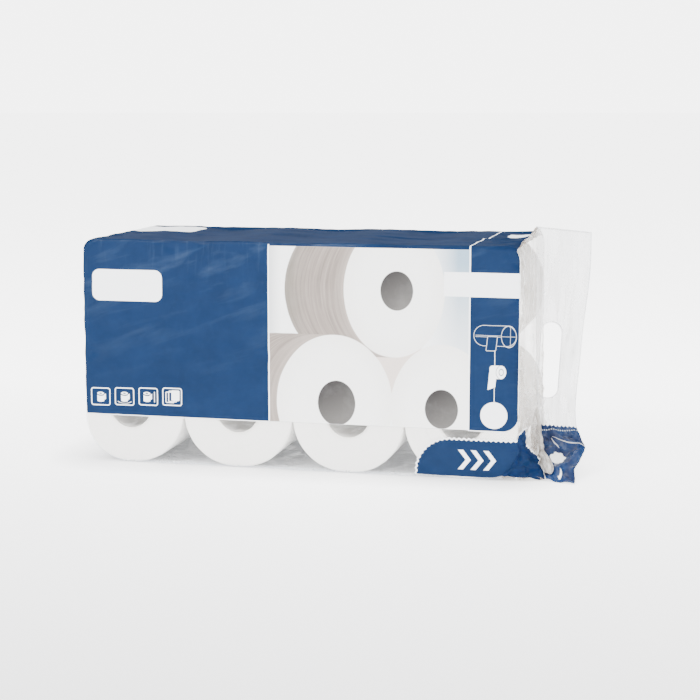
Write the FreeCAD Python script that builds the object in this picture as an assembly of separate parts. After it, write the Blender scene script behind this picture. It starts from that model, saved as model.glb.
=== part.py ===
import FreeCAD, Part

import math
import os

from FreeCAD import Vector

# A carry pack of toilet rolls: four rolls long, two high and two deep, in one printed film bag.
# X runs along the pack towards the carrying fin, Y runs from the front panel to the back one
# and Z is up. The origin is the centre of the underside of the pack's body. Sizes are in mm.

# The roll, before the bag squeezes it
ROLL_DIAMETER = 120.0
ROLL_WIDTH = 99.0
CORE_BORE = 45.0
CORE_WALL = 0.8
CORE_RECESS = 0.6
CORE_FIT = 0.05
RIM_CHAMFER = 1.5
LOOSE_END = 0.6
LOOSE_END_ANGLE = 40.0
TERRACE_DEPTH = 0.5
TERRACE_RADIUS = 38.0

# The block of rolls
COLUMNS = 4
ROWS = 2
LAYERS = 2
PRESS = 2.0
GAP = 0.3
END_SQUEEZE = 9.0
END_CORNER = 47.0

# The bag
FILM = 0.4
EDGE_RADIUS = 2.5
TOP_LEFT_RADIUS = 14.0
TOP_RIGHT_RADIUS = 12.0
BOTTOM_RIGHT_RADIUS = 30.0
SEAM_WIDTH = 14.0
SEAM_PROUD = 0.8
SEAM_END_MARGIN = 6.0

# The gathered end and its carrying fin
PLEATS = 5
PLEAT_HEIGHT = 1.8
TENT_REACH_TOP = 16.0
TENT_REACH_BOTTOM = 30.0
FIN_WIDTH = 58.0
FIN_THICKNESS = 0.8
FIN_WAVE = 1.2
FIN_OVERLAP = 0.5
HAND_HOLE_WIDTH = 21.0
HAND_HOLE_HEIGHT = 80.0
HAND_HOLE_REACH = 17.5
HAND_HOLE_CENTRE_Z = 110.0
HAND_HOLE_LEAN = 3.0

# The printed fields
INK = 0.2
PANEL_BOTTOM = 51.0
PANEL_RIGHT = -29.5
FRAME_LINE = 1.6
WINDOW_TOP = 232.4
COLUMN_LEFT = 179.5
COLUMN_CORNER = 16.0
PRINT_END_MARGIN = 1.5
PRINT_FLOOR = 0.4
LABEL_LEFT = 153.5
LABEL_BOTTOM = 186.0
LABEL_HEIGHT = 24.5
BADGE_Z = 67.0
BADGE_RADIUS = 13.6
PLATE_LEFT = -221.0
PLATE_BOTTOM = 172.0
PLATE_WIDTH = 77.0
PLATE_HEIGHT = 33.0
PLATE_CORNER = 8.0
FLASH_LEFT = 127.0
FLASH_TOP = 40.5
FLASH_BEND = 34.0
FLASH_TOOTH = 3.4
FLASH_TOOTH_DEPTH = 1.2
TAIL_PRINT_START = 0.625
TAIL_PRINT_INSET = 0.2
TAIL_PRINT_LIFT = 0.05

# The printed rolls in the window: centre X and Z, half width and height, depth of the side
PRINTED_ROLLS = (
    (103.0, 190.0, 52.0, 67.0, 62.0),
    (40.0, 73.0, 61.0, 70.0, 62.0),
    (150.5, 71.5, 53.0, 64.0, 0.0),
)
PRINTED_CORE = 0.32

# Worked out from the sizes above
CELL = ROLL_DIAMETER - PRESS
PRESSED_HALF = (CELL - GAP) / 2
SQUEEZED_HALF = PRESSED_HALF - END_SQUEEZE
CORE_RADIUS = CORE_BORE / 2 + CORE_WALL
BLOCK_LENGTH = COLUMNS * CELL - END_SQUEEZE
BLOCK_HEIGHT = ROWS * CELL
BLOCK_DEPTH = LAYERS * (ROLL_WIDTH + GAP)
HALF_LENGTH = BLOCK_LENGTH / 2 + GAP / 2 + FILM
HALF_DEPTH = BLOCK_DEPTH / 2 + GAP / 2 + FILM
HEIGHT = BLOCK_HEIGHT + GAP + 2 * FILM
FLOOR = FILM + GAP / 2
FAR = 4 * HALF_LENGTH

# A pressed roll keeps the girth of the free one: four flats joined by quarter rounds. The rolls
# at the folded end are drawn in further, to corners of their own.
GIRTH = math.pi * ROLL_DIAMETER
CORNER = (8 * PRESSED_HALF - GIRTH) / (8 - 2 * math.pi)
SQUEEZED_CORNER = min(END_CORNER, SQUEEZED_HALF - PRESS)
BOTTOM_LEFT_RADIUS = SQUEEZED_CORNER + GAP + FILM


def arc(centre, radius, start, end, end_radius=None):
    """An arc in the XZ plane; a second radius makes it open out as it turns."""
    last = radius if end_radius is None else end_radius
    points = []
    for share in (0.0, 0.5, 1.0):
        angle = math.radians(start + share * (end - start))
        reach = radius + share * (last - radius)
        points.append(
            centre + Vector(reach * math.cos(angle), 0, reach * math.sin(angle))
        )
    return Part.Arc(*points).toShape()


def joined(edges):
    """The edges in order, with a straight edge wherever one ends short of the next."""
    path = []
    for edge, after in zip(edges, edges[1:] + edges[:1]):
        path.append(edge)
        end = edge.valueAt(edge.LastParameter)
        start = after.valueAt(after.FirstParameter)
        if end.distanceToPoint(start) > 1e-6:
            path.append(Part.LineSegment(end, start).toShape())
    return Part.Wire(path)


def rounded_outline(left, right, bottom, top, radii):
    """A rectangle in the XZ plane; radii are bottom left, bottom right, top right, top left."""
    bl, br, tr, tl = radii
    corners = [
        arc(Vector(left + bl, 0, bottom + bl), bl, 180, 270),
        arc(Vector(right - br, 0, bottom + br), br, 270, 360),
        arc(Vector(right - tr, 0, top - tr), tr, 0, 90),
        arc(Vector(left + tl, 0, top - tl), tl, 90, 180),
    ]
    return joined(corners)


def prism(wire, start_y, depth):
    """The wire, which lies at Y 0, carried along Y."""
    face = Part.Face(wire)
    face.translate(Vector(0, start_y, 0))
    return face.extrude(Vector(0, depth, 0))


def block(x0, x1, z0, z1, y0=-FAR, y1=FAR):
    return Part.makeBox(x1 - x0, y1 - y0, z1 - z0, Vector(x0, y0, z0))


def tube(radius, y0, y1):
    return Part.makeCylinder(radius, y1 - y0, Vector(0, y0, 0), Vector(0, 1, 0))


def roll_outline(squeezed, loose_end):
    """The pressed outline of the winding, with a step where its last turn ends."""
    left = SQUEEZED_HALF if squeezed else PRESSED_HALF
    left_corner = SQUEEZED_CORNER if squeezed else CORNER
    half = PRESSED_HALF
    upper_left = Vector(left_corner - left, 0, half - left_corner)
    upper_right = Vector(half - CORNER, 0, half - CORNER)
    lower_left = Vector(upper_left.x, 0, -upper_left.z)
    lower_right = Vector(upper_right.x, 0, -upper_right.z)
    step = LOOSE_END_ANGLE
    edges = [
        arc(upper_left, left_corner, 180, 90),
        arc(upper_right, CORNER, 90, step, CORNER + loose_end),
        arc(upper_right, CORNER, step, 0),
        arc(lower_right, CORNER, 0, -90),
        arc(lower_left, left_corner, -90, -180),
    ]
    return joined(edges)


def paper_roll(squeezed, outward):
    """The winding about Y, with its bore, chamfered rims and a terrace on its outward end."""
    half = ROLL_WIDTH / 2
    inset = half - RIM_CHAMFER
    body = prism(roll_outline(squeezed, 0), -half, ROLL_WIDTH)
    rims = [edge for edge in body.Edges if edge.BoundBox.YLength < 1e-6]
    body = body.makeChamfer(RIM_CHAMFER, rims)
    last_turn = prism(roll_outline(squeezed, LOOSE_END), -inset, 2 * inset)
    body = body.fuse(last_turn)
    body = body.cut(tube(CORE_RADIUS + CORE_FIT, -FAR, FAR))
    near, far = sorted((outward * (half - TERRACE_DEPTH), outward * FAR))
    return body.cut(tube(TERRACE_RADIUS, near, far))


def core_tube():
    """The card tube, set back a little from both ends of the winding."""
    half = ROLL_WIDTH / 2 - TERRACE_DEPTH - CORE_RECESS
    return tube(CORE_RADIUS, -half, half).cut(tube(CORE_BORE / 2, -FAR, FAR))


def cell_centre(column, row, layer):
    right = BLOCK_LENGTH / 2 - CELL / 2
    x = right - CELL * (COLUMNS - 1 - column)
    z = FLOOR + CELL * (row + 0.5)
    y = (layer - (LAYERS - 1) / 2) * (ROLL_WIDTH + GAP)
    return Vector(x, y, z)


def body_outline(offset):
    """The bag's outline seen from the front, grown by the offset."""
    radii = (
        BOTTOM_LEFT_RADIUS + offset,
        BOTTOM_RIGHT_RADIUS + offset,
        TOP_RIGHT_RADIUS + offset,
        TOP_LEFT_RADIUS + offset,
    )
    left = -HALF_LENGTH - offset
    right = HALF_LENGTH + offset
    return rounded_outline(left, right, -offset, HEIGHT + offset, radii)


def body_solid(offset):
    """The bag's body as a full solid, its front and back edges rounded, grown by the offset."""
    half = HALF_DEPTH + offset
    solid = prism(body_outline(offset), -half, 2 * half)
    edges = [edge for edge in solid.Edges if edge.BoundBox.YLength < 1e-6]
    return solid.makeFillet(EDGE_RADIUS + offset, edges)


def end_x(z, offset):
    """Where the right end of the bag's outline lies at a height, grown by the offset."""
    centre = HALF_LENGTH - BOTTOM_RIGHT_RADIUS
    radius = BOTTOM_RIGHT_RADIUS + offset
    drop = BOTTOM_RIGHT_RADIUS - z
    if z > HEIGHT - TOP_RIGHT_RADIUS:
        centre = HALF_LENGTH - TOP_RIGHT_RADIUS
        radius = TOP_RIGHT_RADIUS + offset
        drop = z - (HEIGHT - TOP_RIGHT_RADIUS)
    if drop <= 0:
        return HALF_LENGTH + offset
    return centre + math.sqrt(max(radius**2 - drop**2, 0.0))


def line_through(points):
    """A smooth curve through points that are evenly spread in its parameter."""
    count = len(points) - 1
    curve = Part.BSplineCurve()
    curve.interpolate(
        Points=points, Parameters=[i / count for i in range(count + 1)]
    )
    return curve


# The gather line, where front and back film meet, and the fin's free edge. Both run down from
# the top, curl forward below the hand hole and end on the floor in front of the pack's end.
# Each row is a share of the fin's width, of the bag's half depth and of its height.
GATHER_SHARES = (
    (0.026, 0.0, 1.055),
    (0.031, 0.0, 0.860),
    (0.043, 0.0, 0.654),
    (0.055, 0.0, 0.447),
    (0.086, -0.02, 0.287),
    (0.155, -0.12, 0.173),
    (0.259, -0.38, 0.101),
    (0.328, -0.66, 0.051),
    (0.431, -0.90, 0.0095),
)
FREE_EDGE_SHARES = (
    (1.0, 0.0, 1.034),
    (0.991, 0.0, 0.844),
    (0.905, 0.0, 0.641),
    (0.836, 0.0, 0.439),
    (0.784, -0.01, 0.278),
    (0.828, -0.06, 0.165),
    (0.983, -0.33, 0.114),
    (1.0, -0.68, 0.072),
    (0.966, -0.965, 0.017),
)


def fin_line(shares):
    points = []
    for x, y, z in shares:
        points.append(
            Vector(HALF_LENGTH + x * FIN_WIDTH, y * HALF_DEPTH, z * HEIGHT)
        )
    return line_through(points)


GATHER_LINE = fin_line(GATHER_SHARES)
FREE_EDGE = fin_line(FREE_EDGE_SHARES)


def body_edge(v, side):
    """The line down the bag's right corner that the tent leaves from, inside the wall."""
    top = HEIGHT - TOP_RIGHT_RADIUS / 3
    z = top + v * (BOTTOM_RIGHT_RADIUS / 8 - top)
    return Vector(end_x(z, -FILM / 2), side * (HALF_DEPTH - EDGE_RADIUS), z)


def tent_point(side, s, v, pleats):
    """The tent runs from the bag's corner to the gather line, with pleats across its middle."""
    start = body_edge(v, side)
    end = GATHER_LINE.value(v)
    wave = math.sin(math.pi * s) ** 2 * (1 - math.cos(2 * math.pi * pleats * v))
    rise = Vector(PLEAT_HEIGHT * wave / 2, 0, 0)
    return start + (end - start) * s + rise


def fin_point(u, v):
    """The fin runs from just inside the gather line to its free edge, and ripples outwards."""
    start = GATHER_LINE.value(v)
    end = FREE_EDGE.value(v)
    along = end - start
    inset = FIN_OVERLAP / along.Length
    wave = FIN_WAVE * u * math.sin(2 * math.pi * (1.5 * v + 0.4 * u))
    fade = min(1.0, 4 * (1 - v)) ** 2
    return start + along * (u * (1 + inset) - inset) + Vector(0, wave * fade, 0)


def surface_through(point_at, across, down):
    """A smooth surface through a grid of points; both parameters run from 0 to 1."""
    grid = []
    for i in range(across + 1):
        grid.append([point_at(i / across, j / down) for j in range(down + 1)])
    surface = Part.BSplineSurface()
    surface.interpolate(grid)
    return surface


def side_curves(surface):
    """The four border curves of a surface: first and last row, first and last column."""
    u0, u1, v0, v1 = surface.bounds()
    curves = surface.uIso(u0), surface.uIso(u1), surface.vIso(v0), surface.vIso(v1)
    return [curve.toShape() for curve in curves]


def closed_solid(faces):
    shell = Part.makeShell(faces)
    shell.sewShape()
    solid = Part.makeSolid(shell)
    if solid.Volume < 0:
        solid.reverse()
    return solid


def tent(pleats):
    """The gathered end as a full solid: two slopes that meet in the gather line.

    It reaches back into the body, so that its top and bottom close as gussets.
    """
    faces = []
    depth = HALF_DEPTH - EDGE_RADIUS
    top = Vector(HALF_LENGTH - TENT_REACH_TOP, 0, HEIGHT - FILM)
    bottom = Vector(HALF_LENGTH - TENT_REACH_BOTTOM, 0, FILM / 2)
    for side in (-1, 1):
        slope = surface_through(
            lambda s, v: tent_point(side, s, v, pleats), 8, 10 + 4 * pleats
        )
        corner, _, top_edge, bottom_edge = side_curves(slope)
        shift = Vector(0, side * depth, 0)
        top_line = Part.LineSegment(top + shift, top).toShape()
        bottom_line = Part.LineSegment(bottom + shift, bottom).toShape()
        side_line = Part.LineSegment(top + shift, bottom + shift).toShape()
        faces.append(slope.toShape())
        faces.append(Part.makeRuledSurface(top_line, top_edge))
        faces.append(Part.makeRuledSurface(bottom_line, bottom_edge))
        faces.append(Part.makeRuledSurface(side_line, corner))
        back = [top + shift, top, bottom, bottom + shift, top + shift]
        faces.append(Part.Face(Part.makePolygon(back)))
    return closed_solid(faces)


def tent_inside():
    """The tent's inner side: smooth, and drawn in by a film's thickness."""
    matrix = FreeCAD.Matrix()
    matrix.move(Vector(0, 0, -HEIGHT / 2))
    matrix.scale(Vector(1, 1 - FILM / HALF_DEPTH, 1 - 2 * FILM / HEIGHT))
    matrix.move(Vector(-FILM, 0, HEIGHT / 2))
    return tent(0).transformGeometry(matrix)


def normal_at(point_of, u, v):
    step = 1e-3
    across = point_of(u + step, v) - point_of(u - step, v)
    low = max(v - step, 0)
    high = min(v + step, 1)
    down = point_of(u, high) - point_of(u, low)
    return across.cross(down).normalize()


def sheet(point_of, inner, outer, u_start=0.0, v_start=0.0, down=24):
    """A solid sheet between two offsets of a surface that is given by a point for each u, v."""
    sides = []
    for offset in (inner, outer):

        def point_at(i, j, offset=offset):
            u = u_start + (1 - u_start) * i
            v = v_start + (1 - v_start) * j
            return point_of(u, v) + normal_at(point_of, u, v) * offset

        sides.append(surface_through(point_at, 4, down))
    low, high = sides
    faces = [low.toShape(), high.toShape()]
    for first, second in zip(side_curves(low), side_curves(high)):
        faces.append(Part.makeRuledSurface(first, second))
    return closed_solid(faces)


def hand_hole():
    """The oblong die-cut hole, which leans outwards a little at its top."""
    half = HAND_HOLE_WIDTH / 2
    straight = HAND_HOLE_HEIGHT / 2 - half
    upper = Vector(0, 0, straight)
    lower = Vector(0, 0, -straight)
    slot = prism(joined([arc(upper, half, 180, 0), arc(lower, half, 0, -180)]), -FAR, 2 * FAR)
    slot.rotate(Vector(0, 0, 0), Vector(0, 1, 0), HAND_HOLE_LEAN)
    slot.translate(Vector(HALF_LENGTH + HAND_HOLE_REACH, 0, HAND_HOLE_CENTRE_Z))
    return slot


def seam():
    """The welded seam that closes the other end, folded flat against it."""
    left = -HALF_LENGTH - SEAM_PROUD
    bottom = BOTTOM_LEFT_RADIUS + SEAM_END_MARGIN
    top = HEIGHT - TOP_LEFT_RADIUS - SEAM_END_MARGIN
    return block(left, -HALF_LENGTH + FILM / 2, bottom, top, 0, SEAM_WIDTH)


def film_bag():
    """The bag in one piece: body, seam, pleated tent at the gathered end and carrying fin."""
    bag = body_solid(0).fuse(tent(PLEATS))
    bag = bag.cut(body_solid(-FILM).fuse(tent_inside()))
    half = FIN_THICKNESS / 2
    fin = sheet(fin_point, -half, half).cut(hand_hole())
    return bag.fuse([seam(), fin])


def flash_outline():
    """The corner flash seen from the front: a toothed edge that bends over to run level."""
    centre = Vector(FLASH_LEFT + FLASH_BEND, 0, FLASH_TOP - FLASH_BEND)
    points = [Vector(HALF_LENGTH, 0, 0), Vector(FLASH_LEFT, 0, 0)]
    turn = math.pi / 2 * FLASH_BEND
    level = HALF_LENGTH - centre.x
    teeth = int((turn + level) / FLASH_TOOTH)
    for i in range(2 * teeth + 1):
        run = (turn + level) * i / (2 * teeth)
        depth = FLASH_TOOTH_DEPTH if i % 2 else 0.0
        if run < turn:
            angle = math.pi - run / FLASH_BEND
            reach = FLASH_BEND - depth
            offset = Vector(math.cos(angle), 0, math.sin(angle)) * reach
            points.append(centre + offset)
        else:
            points.append(Vector(centre.x + run - turn, 0, FLASH_TOP - depth))
    points.append(points[0])
    return Part.makePolygon(points)


def ellipse(x, z, half_width, half_height):
    """A solid behind the front plane's print, with an upright elliptical section."""
    curve = Part.Ellipse(
        Vector(0, 0, half_height), Vector(half_width, 0, 0), Vector(0, 0, 0)
    )
    wire = Part.Wire(curve.toShape())
    wire.translate(Vector(x, 0, z))
    return prism(wire, -FAR, FAR)


def front_block(left, right, bottom, top):
    return block(left, right, bottom, top, -FAR, 0)


def printed_rolls():
    """The sides and the cores of the rolls that are printed in the window."""
    sides = []
    cores = []
    ends = []
    for x, z, half_width, half_height, side in PRINTED_ROLLS:
        ends.append(ellipse(x, z, half_width, half_height))
        core = PRINTED_CORE
        cores.append(ellipse(x, z, half_width * core, half_height * core))
        if side > 0:
            far_end = ellipse(x - side, z, half_width, half_height)
            between = front_block(x - side, x, z - half_height, z + half_height)
            sides.append(far_end.fuse(between))
    window = front_block(PANEL_RIGHT, COLUMN_LEFT, PANEL_BOTTOM, WINDOW_TOP)
    left, top = LABEL_LEFT, LABEL_BOTTOM + LABEL_HEIGHT
    window = window.cut(front_block(left, FAR, LABEL_BOTTOM, top))
    side = sides[0].fuse(sides[1:]).cut(ends[0].fuse(ends[1:]))
    core = cores[0].fuse(cores[1:])
    return side.common(window), core.common(window)


def print_regions():
    """The blue fields and the white ones as deep solids, to be met with the layer of ink."""
    end = HALF_LENGTH - PRINT_END_MARGIN
    sheet_of_blue = rounded_outline(
        -FAR, end, PANEL_BOTTOM, FAR, (1.0, COLUMN_CORNER, 1.0, 1.0)
    )
    blue = prism(sheet_of_blue, -FAR, 2 * FAR)
    plate_outline = rounded_outline(
        PLATE_LEFT,
        PLATE_LEFT + PLATE_WIDTH,
        PLATE_BOTTOM,
        PLATE_BOTTOM + PLATE_HEIGHT,
        (PLATE_CORNER,) * 4,
    )
    badge = tube(BADGE_RADIUS, -FAR, 0)
    badge.translate(Vector((COLUMN_LEFT + end) / 2, 0, BADGE_Z))
    label_top = LABEL_BOTTOM + LABEL_HEIGHT
    border = PANEL_BOTTOM - FRAME_LINE
    white = front_block(PANEL_RIGHT, COLUMN_LEFT, PANEL_BOTTOM, WINDOW_TOP).fuse(
        [
            prism(plate_outline, -FAR, FAR),
            badge,
            front_block(LABEL_LEFT, end, LABEL_BOTTOM, label_top),
            block(COLUMN_LEFT - FRAME_LINE, COLUMN_LEFT, WINDOW_TOP, FAR),
            block(-FAR, COLUMN_LEFT, border, PANEL_BOTTOM),
        ]
    )
    flash = prism(flash_outline(), -FAR, FAR)
    side = EDGE_RADIUS - HALF_DEPTH
    flash = flash.common(block(-FAR, end, PRINT_FLOOR, FAR, -FAR, side))
    bare_column = block(COLUMN_LEFT, FAR, -FAR, HEIGHT - EDGE_RADIUS, 0, FAR)
    return blue.cut([white, bare_column]).fuse(flash), white


def ink_layer():
    """A thin skin on the body, spared where the seam and the tent's top gusset are."""
    layer = body_solid(INK).cut(body_solid(0))
    depth = HALF_DEPTH - EDGE_RADIUS / 2
    corner = HEIGHT - TOP_RIGHT_RADIUS - 1
    gusset = block(
        HALF_LENGTH - TENT_REACH_TOP - 1, FAR, corner, FAR, -depth, depth
    )
    return layer.cut(gusset.fuse(seam()))


def tail_print():
    """The printed colour on both faces of the fin's tail."""
    low = FIN_THICKNESS / 2 + TAIL_PRINT_LIFT
    high = low + INK
    edges = {"u_start": TAIL_PRINT_INSET, "v_start": TAIL_PRINT_START, "down": 8}
    return [
        sheet(fin_point, low, high, **edges),
        sheet(fin_point, -high, -low, **edges),
    ]


def print_layers():
    """The ink as thin layers on the bag, one for each colour."""
    layer = ink_layer()
    blue, white = print_regions()
    sides, cores = printed_rolls()
    white = white.cut(sides.fuse(cores))
    blue_pieces = [*layer.common(blue).Solids, *tail_print()]
    return {
        "print_blue": Part.makeCompound(blue_pieces),
        "print_white": layer.common(white),
        "print_roll_sides": layer.common(sides),
        "print_roll_cores": layer.common(cores),
    }


def build():
    nodes = {}
    layers = ("front", "back")
    rows = ("lower", "upper")
    for layer in range(LAYERS):
        for row in range(ROWS):
            for column in range(COLUMNS):
                place = cell_centre(column, row, layer)
                outward = -1 if layer == 0 else 1
                paper = paper_roll(column == 0, outward)
                paper.translate(place)
                core = core_tube()
                core.translate(place)
                where = f"{layers[layer]}_{rows[row]}_{column + 1}"
                nodes[f"roll_{where}"] = paper
                nodes[f"core_{where}"] = core
    nodes["film_bag"] = film_bag()
    nodes.update(print_layers())
    return nodes


def main():
    os.makedirs("parts", exist_ok=True)
    for name, shape in build().items():
        solids = shape.Solids
        state = "valid" if shape.isValid() else "NOT VALID"
        print(f"{name}: {len(solids)} solids, {shape.Volume / 1000:.2f} cm3, {state}")
        shape.exportStep(f"parts/{name}.step")


main()
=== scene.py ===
import math

import bmesh
import bpy
import numpy as np
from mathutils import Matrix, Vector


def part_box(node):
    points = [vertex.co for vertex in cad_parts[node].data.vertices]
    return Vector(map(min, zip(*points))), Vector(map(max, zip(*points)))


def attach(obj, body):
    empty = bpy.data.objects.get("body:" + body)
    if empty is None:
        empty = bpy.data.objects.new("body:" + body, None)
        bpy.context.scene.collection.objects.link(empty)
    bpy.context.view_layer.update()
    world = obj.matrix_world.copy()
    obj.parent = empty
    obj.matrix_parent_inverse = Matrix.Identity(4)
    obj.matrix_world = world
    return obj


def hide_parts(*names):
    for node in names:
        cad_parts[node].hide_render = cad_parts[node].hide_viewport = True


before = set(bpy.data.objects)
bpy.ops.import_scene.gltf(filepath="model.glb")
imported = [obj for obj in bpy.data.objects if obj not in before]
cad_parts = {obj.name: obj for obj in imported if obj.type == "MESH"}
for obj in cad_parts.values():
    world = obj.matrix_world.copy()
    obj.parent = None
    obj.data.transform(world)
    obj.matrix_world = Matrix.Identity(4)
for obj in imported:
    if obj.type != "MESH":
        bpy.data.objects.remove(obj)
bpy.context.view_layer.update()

bl_info = {
    "name": "Toilet roll carry pack",
    "version": (1, 0, 0),
    "blender": (4, 5, 0),
    "location": "3D View > Sidebar > Roll Pack",
    "description": "Builds a film-wrapped carry pack of toilet rolls round its packed frame",
    "category": "Object",
}

MM = 0.001
BODY = "root"
LAYERS = ("front", "back")
ROWS = ("lower", "upper")
COLUMNS = 4
INK_NODES = ("print_blue", "print_white", "print_roll_sides", "print_roll_cores")


def linear(red, green, blue):
    """A colour given as 0 to 255 screen values, turned into the linear values of a shader."""
    out = []
    for value in (red, green, blue):
        share = value / 255
        out.append(share / 12.92 if share <= 0.04045 else ((share + 0.055) / 1.055) ** 2.4)
    return tuple(out)


def node_box_mm(node):
    """A CAD node's lowest and highest corner in millimetres."""
    low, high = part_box(node)
    return np.array(low) / MM, np.array(high) / MM


# sizes that come from the frame
FIRST_LOW, FIRST_HIGH = node_box_mm("roll_front_lower_1")
LAST_LOW, LAST_HIGH = node_box_mm("roll_back_upper_4")
BAG_LOW, BAG_HIGH = node_box_mm("film_bag")


class PackSizes(bpy.types.PropertyGroup):
    """Lengths of the pack, in metres."""

    cell: bpy.props.FloatProperty(
        name="Roll pitch",
        description="Distance between the axes of two neighbouring rolls",
        default=(LAST_HIGH[0] - LAST_LOW[0] + 0.3) * MM,
        subtype="DISTANCE",
        unit="LENGTH",
    )
    roll_width: bpy.props.FloatProperty(
        name="Roll width",
        description="Width of the tissue, along the roll's axis",
        default=(FIRST_HIGH[1] - FIRST_LOW[1]) * MM,
        subtype="DISTANCE",
        unit="LENGTH",
    )
    core_radius: bpy.props.FloatProperty(
        name="Core radius",
        description="Outer radius of the card core",
        default=0.0233,
        subtype="DISTANCE",
        unit="LENGTH",
    )
    half_length: bpy.props.FloatProperty(
        name="Bag half length",
        description="From the middle of the bag's body to its flat end",
        default=(0.55 - FIRST_LOW[0]) * MM,
        subtype="DISTANCE",
        unit="LENGTH",
    )
    half_depth: bpy.props.FloatProperty(
        name="Bag half depth",
        description="From the middle of the bag's body to its front panel",
        default=BAG_HIGH[1] * MM,
        subtype="DISTANCE",
        unit="LENGTH",
    )
    height: bpy.props.FloatProperty(
        name="Bag height",
        description="Height of the bag's body",
        default=(LAST_HIGH[2] + 0.55) * MM,
        subtype="DISTANCE",
        unit="LENGTH",
    )
    fin_width: bpy.props.FloatProperty(
        name="Fin width",
        description="How far the carrying fin reaches past the bag's body",
        default=0.058,
        subtype="DISTANCE",
        unit="LENGTH",
    )
    fin_thickness: bpy.props.FloatProperty(
        name="Fin thickness",
        description="Thickness of the two welded layers of film",
        default=0.0006,
        subtype="DISTANCE",
        unit="LENGTH",
    )
    clear_strip: bpy.props.FloatProperty(
        name="Clear strip",
        description="Height of the unprinted film along the bottom",
        default=0.051,
        subtype="DISTANCE",
        unit="LENGTH",
    )


class PackColours(bpy.types.PropertyGroup):
    """Colours of the pack's inks and materials."""

    blue: bpy.props.FloatVectorProperty(
        name="Blue ink",
        description="Printed ground colour",
        default=linear(17, 35, 62),
        subtype="COLOR",
    )
    white: bpy.props.FloatVectorProperty(
        name="White ink",
        description="Printed lines, plates and pictograms",
        default=linear(248, 250, 252),
        subtype="COLOR",
    )
    paper: bpy.props.FloatVectorProperty(
        name="Tissue",
        description="Colour of the tissue",
        default=linear(252, 250, 246),
        subtype="COLOR",
    )
    card: bpy.props.FloatVectorProperty(
        name="Core card",
        description="Colour of the core tubes",
        default=linear(250, 247, 242),
        subtype="COLOR",
    )
    film: bpy.props.FloatVectorProperty(
        name="Clear film",
        description="Faint tint of the unprinted film",
        default=linear(232, 234, 236),
        subtype="COLOR",
    )


# numpy surfaces
def ease(value, low, high):
    """0 below low, 1 above high, and the smooth cubic 3t^2 - 2t^3 between them."""
    t = np.clip((value - low) / (high - low), 0.0, 1.0)
    return t * t * (3.0 - 2.0 * t)


def ripple(points, length, seed, waves=20):
    """A soft random field: cosines of random direction and phase, about one length long."""
    rng = np.random.default_rng(seed)
    way = rng.normal(size=(waves, points.shape[-1]))
    way /= np.linalg.norm(way, axis=1)[:, None]
    pitch = length * rng.uniform(0.65, 1.6, waves)
    phase = rng.uniform(0.0, 2 * math.pi, waves)
    field = np.cos(points @ (2 * math.pi * way / pitch[:, None]).T + phase)
    return field.sum(-1) * math.sqrt(2.0 / waves)


def creases(points, length, seed, sharpness=0.3):
    """Thin ridges, 1 high, along the lines where a soft random field changes its sign."""
    return np.exp(-np.abs(ripple(points, length, seed)) / sharpness)


def spline(points, share):
    """A natural cubic spline through points that are evenly spread over the shares 0 to 1."""
    knots = np.asarray(points, float)
    last = len(knots) - 1
    bend = np.zeros_like(knots)
    system = 4 * np.eye(last - 1) + np.eye(last - 1, k=1) + np.eye(last - 1, k=-1)
    bend[1:-1] = np.linalg.solve(system, 6 * (knots[2:] - 2 * knots[1:-1] + knots[:-2]))
    place = np.clip(share, 0.0, 1.0) * last
    i = np.minimum(place.astype(int), last - 1)
    b = (place - i)[..., None]
    a = 1.0 - b
    curve = a * knots[i] + b * knots[i + 1]
    return curve + ((a**3 - a) * bend[i] + (b**3 - b) * bend[i + 1]) / 6


def grid_normals(points, closed_rows=False, closed_columns=True):
    """Unit normals of a grid of points: the cross product of its two central differences."""

    def difference(axis, closed):
        if closed:
            return np.roll(points, -1, axis) - np.roll(points, 1, axis)
        return np.gradient(points, axis=axis)

    normal = np.cross(difference(0, closed_rows), difference(1, closed_columns))
    length = np.linalg.norm(normal, axis=-1, keepdims=True)
    return normal / np.maximum(length, 1e-9)


def grid_quads(rows, columns, closed_rows, closed_columns):
    """Corner indices of a grid's quads, and the same corners as row and column numbers."""
    i = np.arange(rows if closed_rows else rows - 1)
    j = np.arange(columns if closed_columns else columns - 1)
    i, j = np.meshgrid(i, j, indexing="ij")
    corner_i = np.stack([i, i + 1, i + 1, i], -1).reshape(-1, 4)
    corner_j = np.stack([j, j, j + 1, j + 1], -1).reshape(-1, 4)
    return (corner_i % rows) * columns + corner_j % columns, corner_i, corner_j


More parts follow.
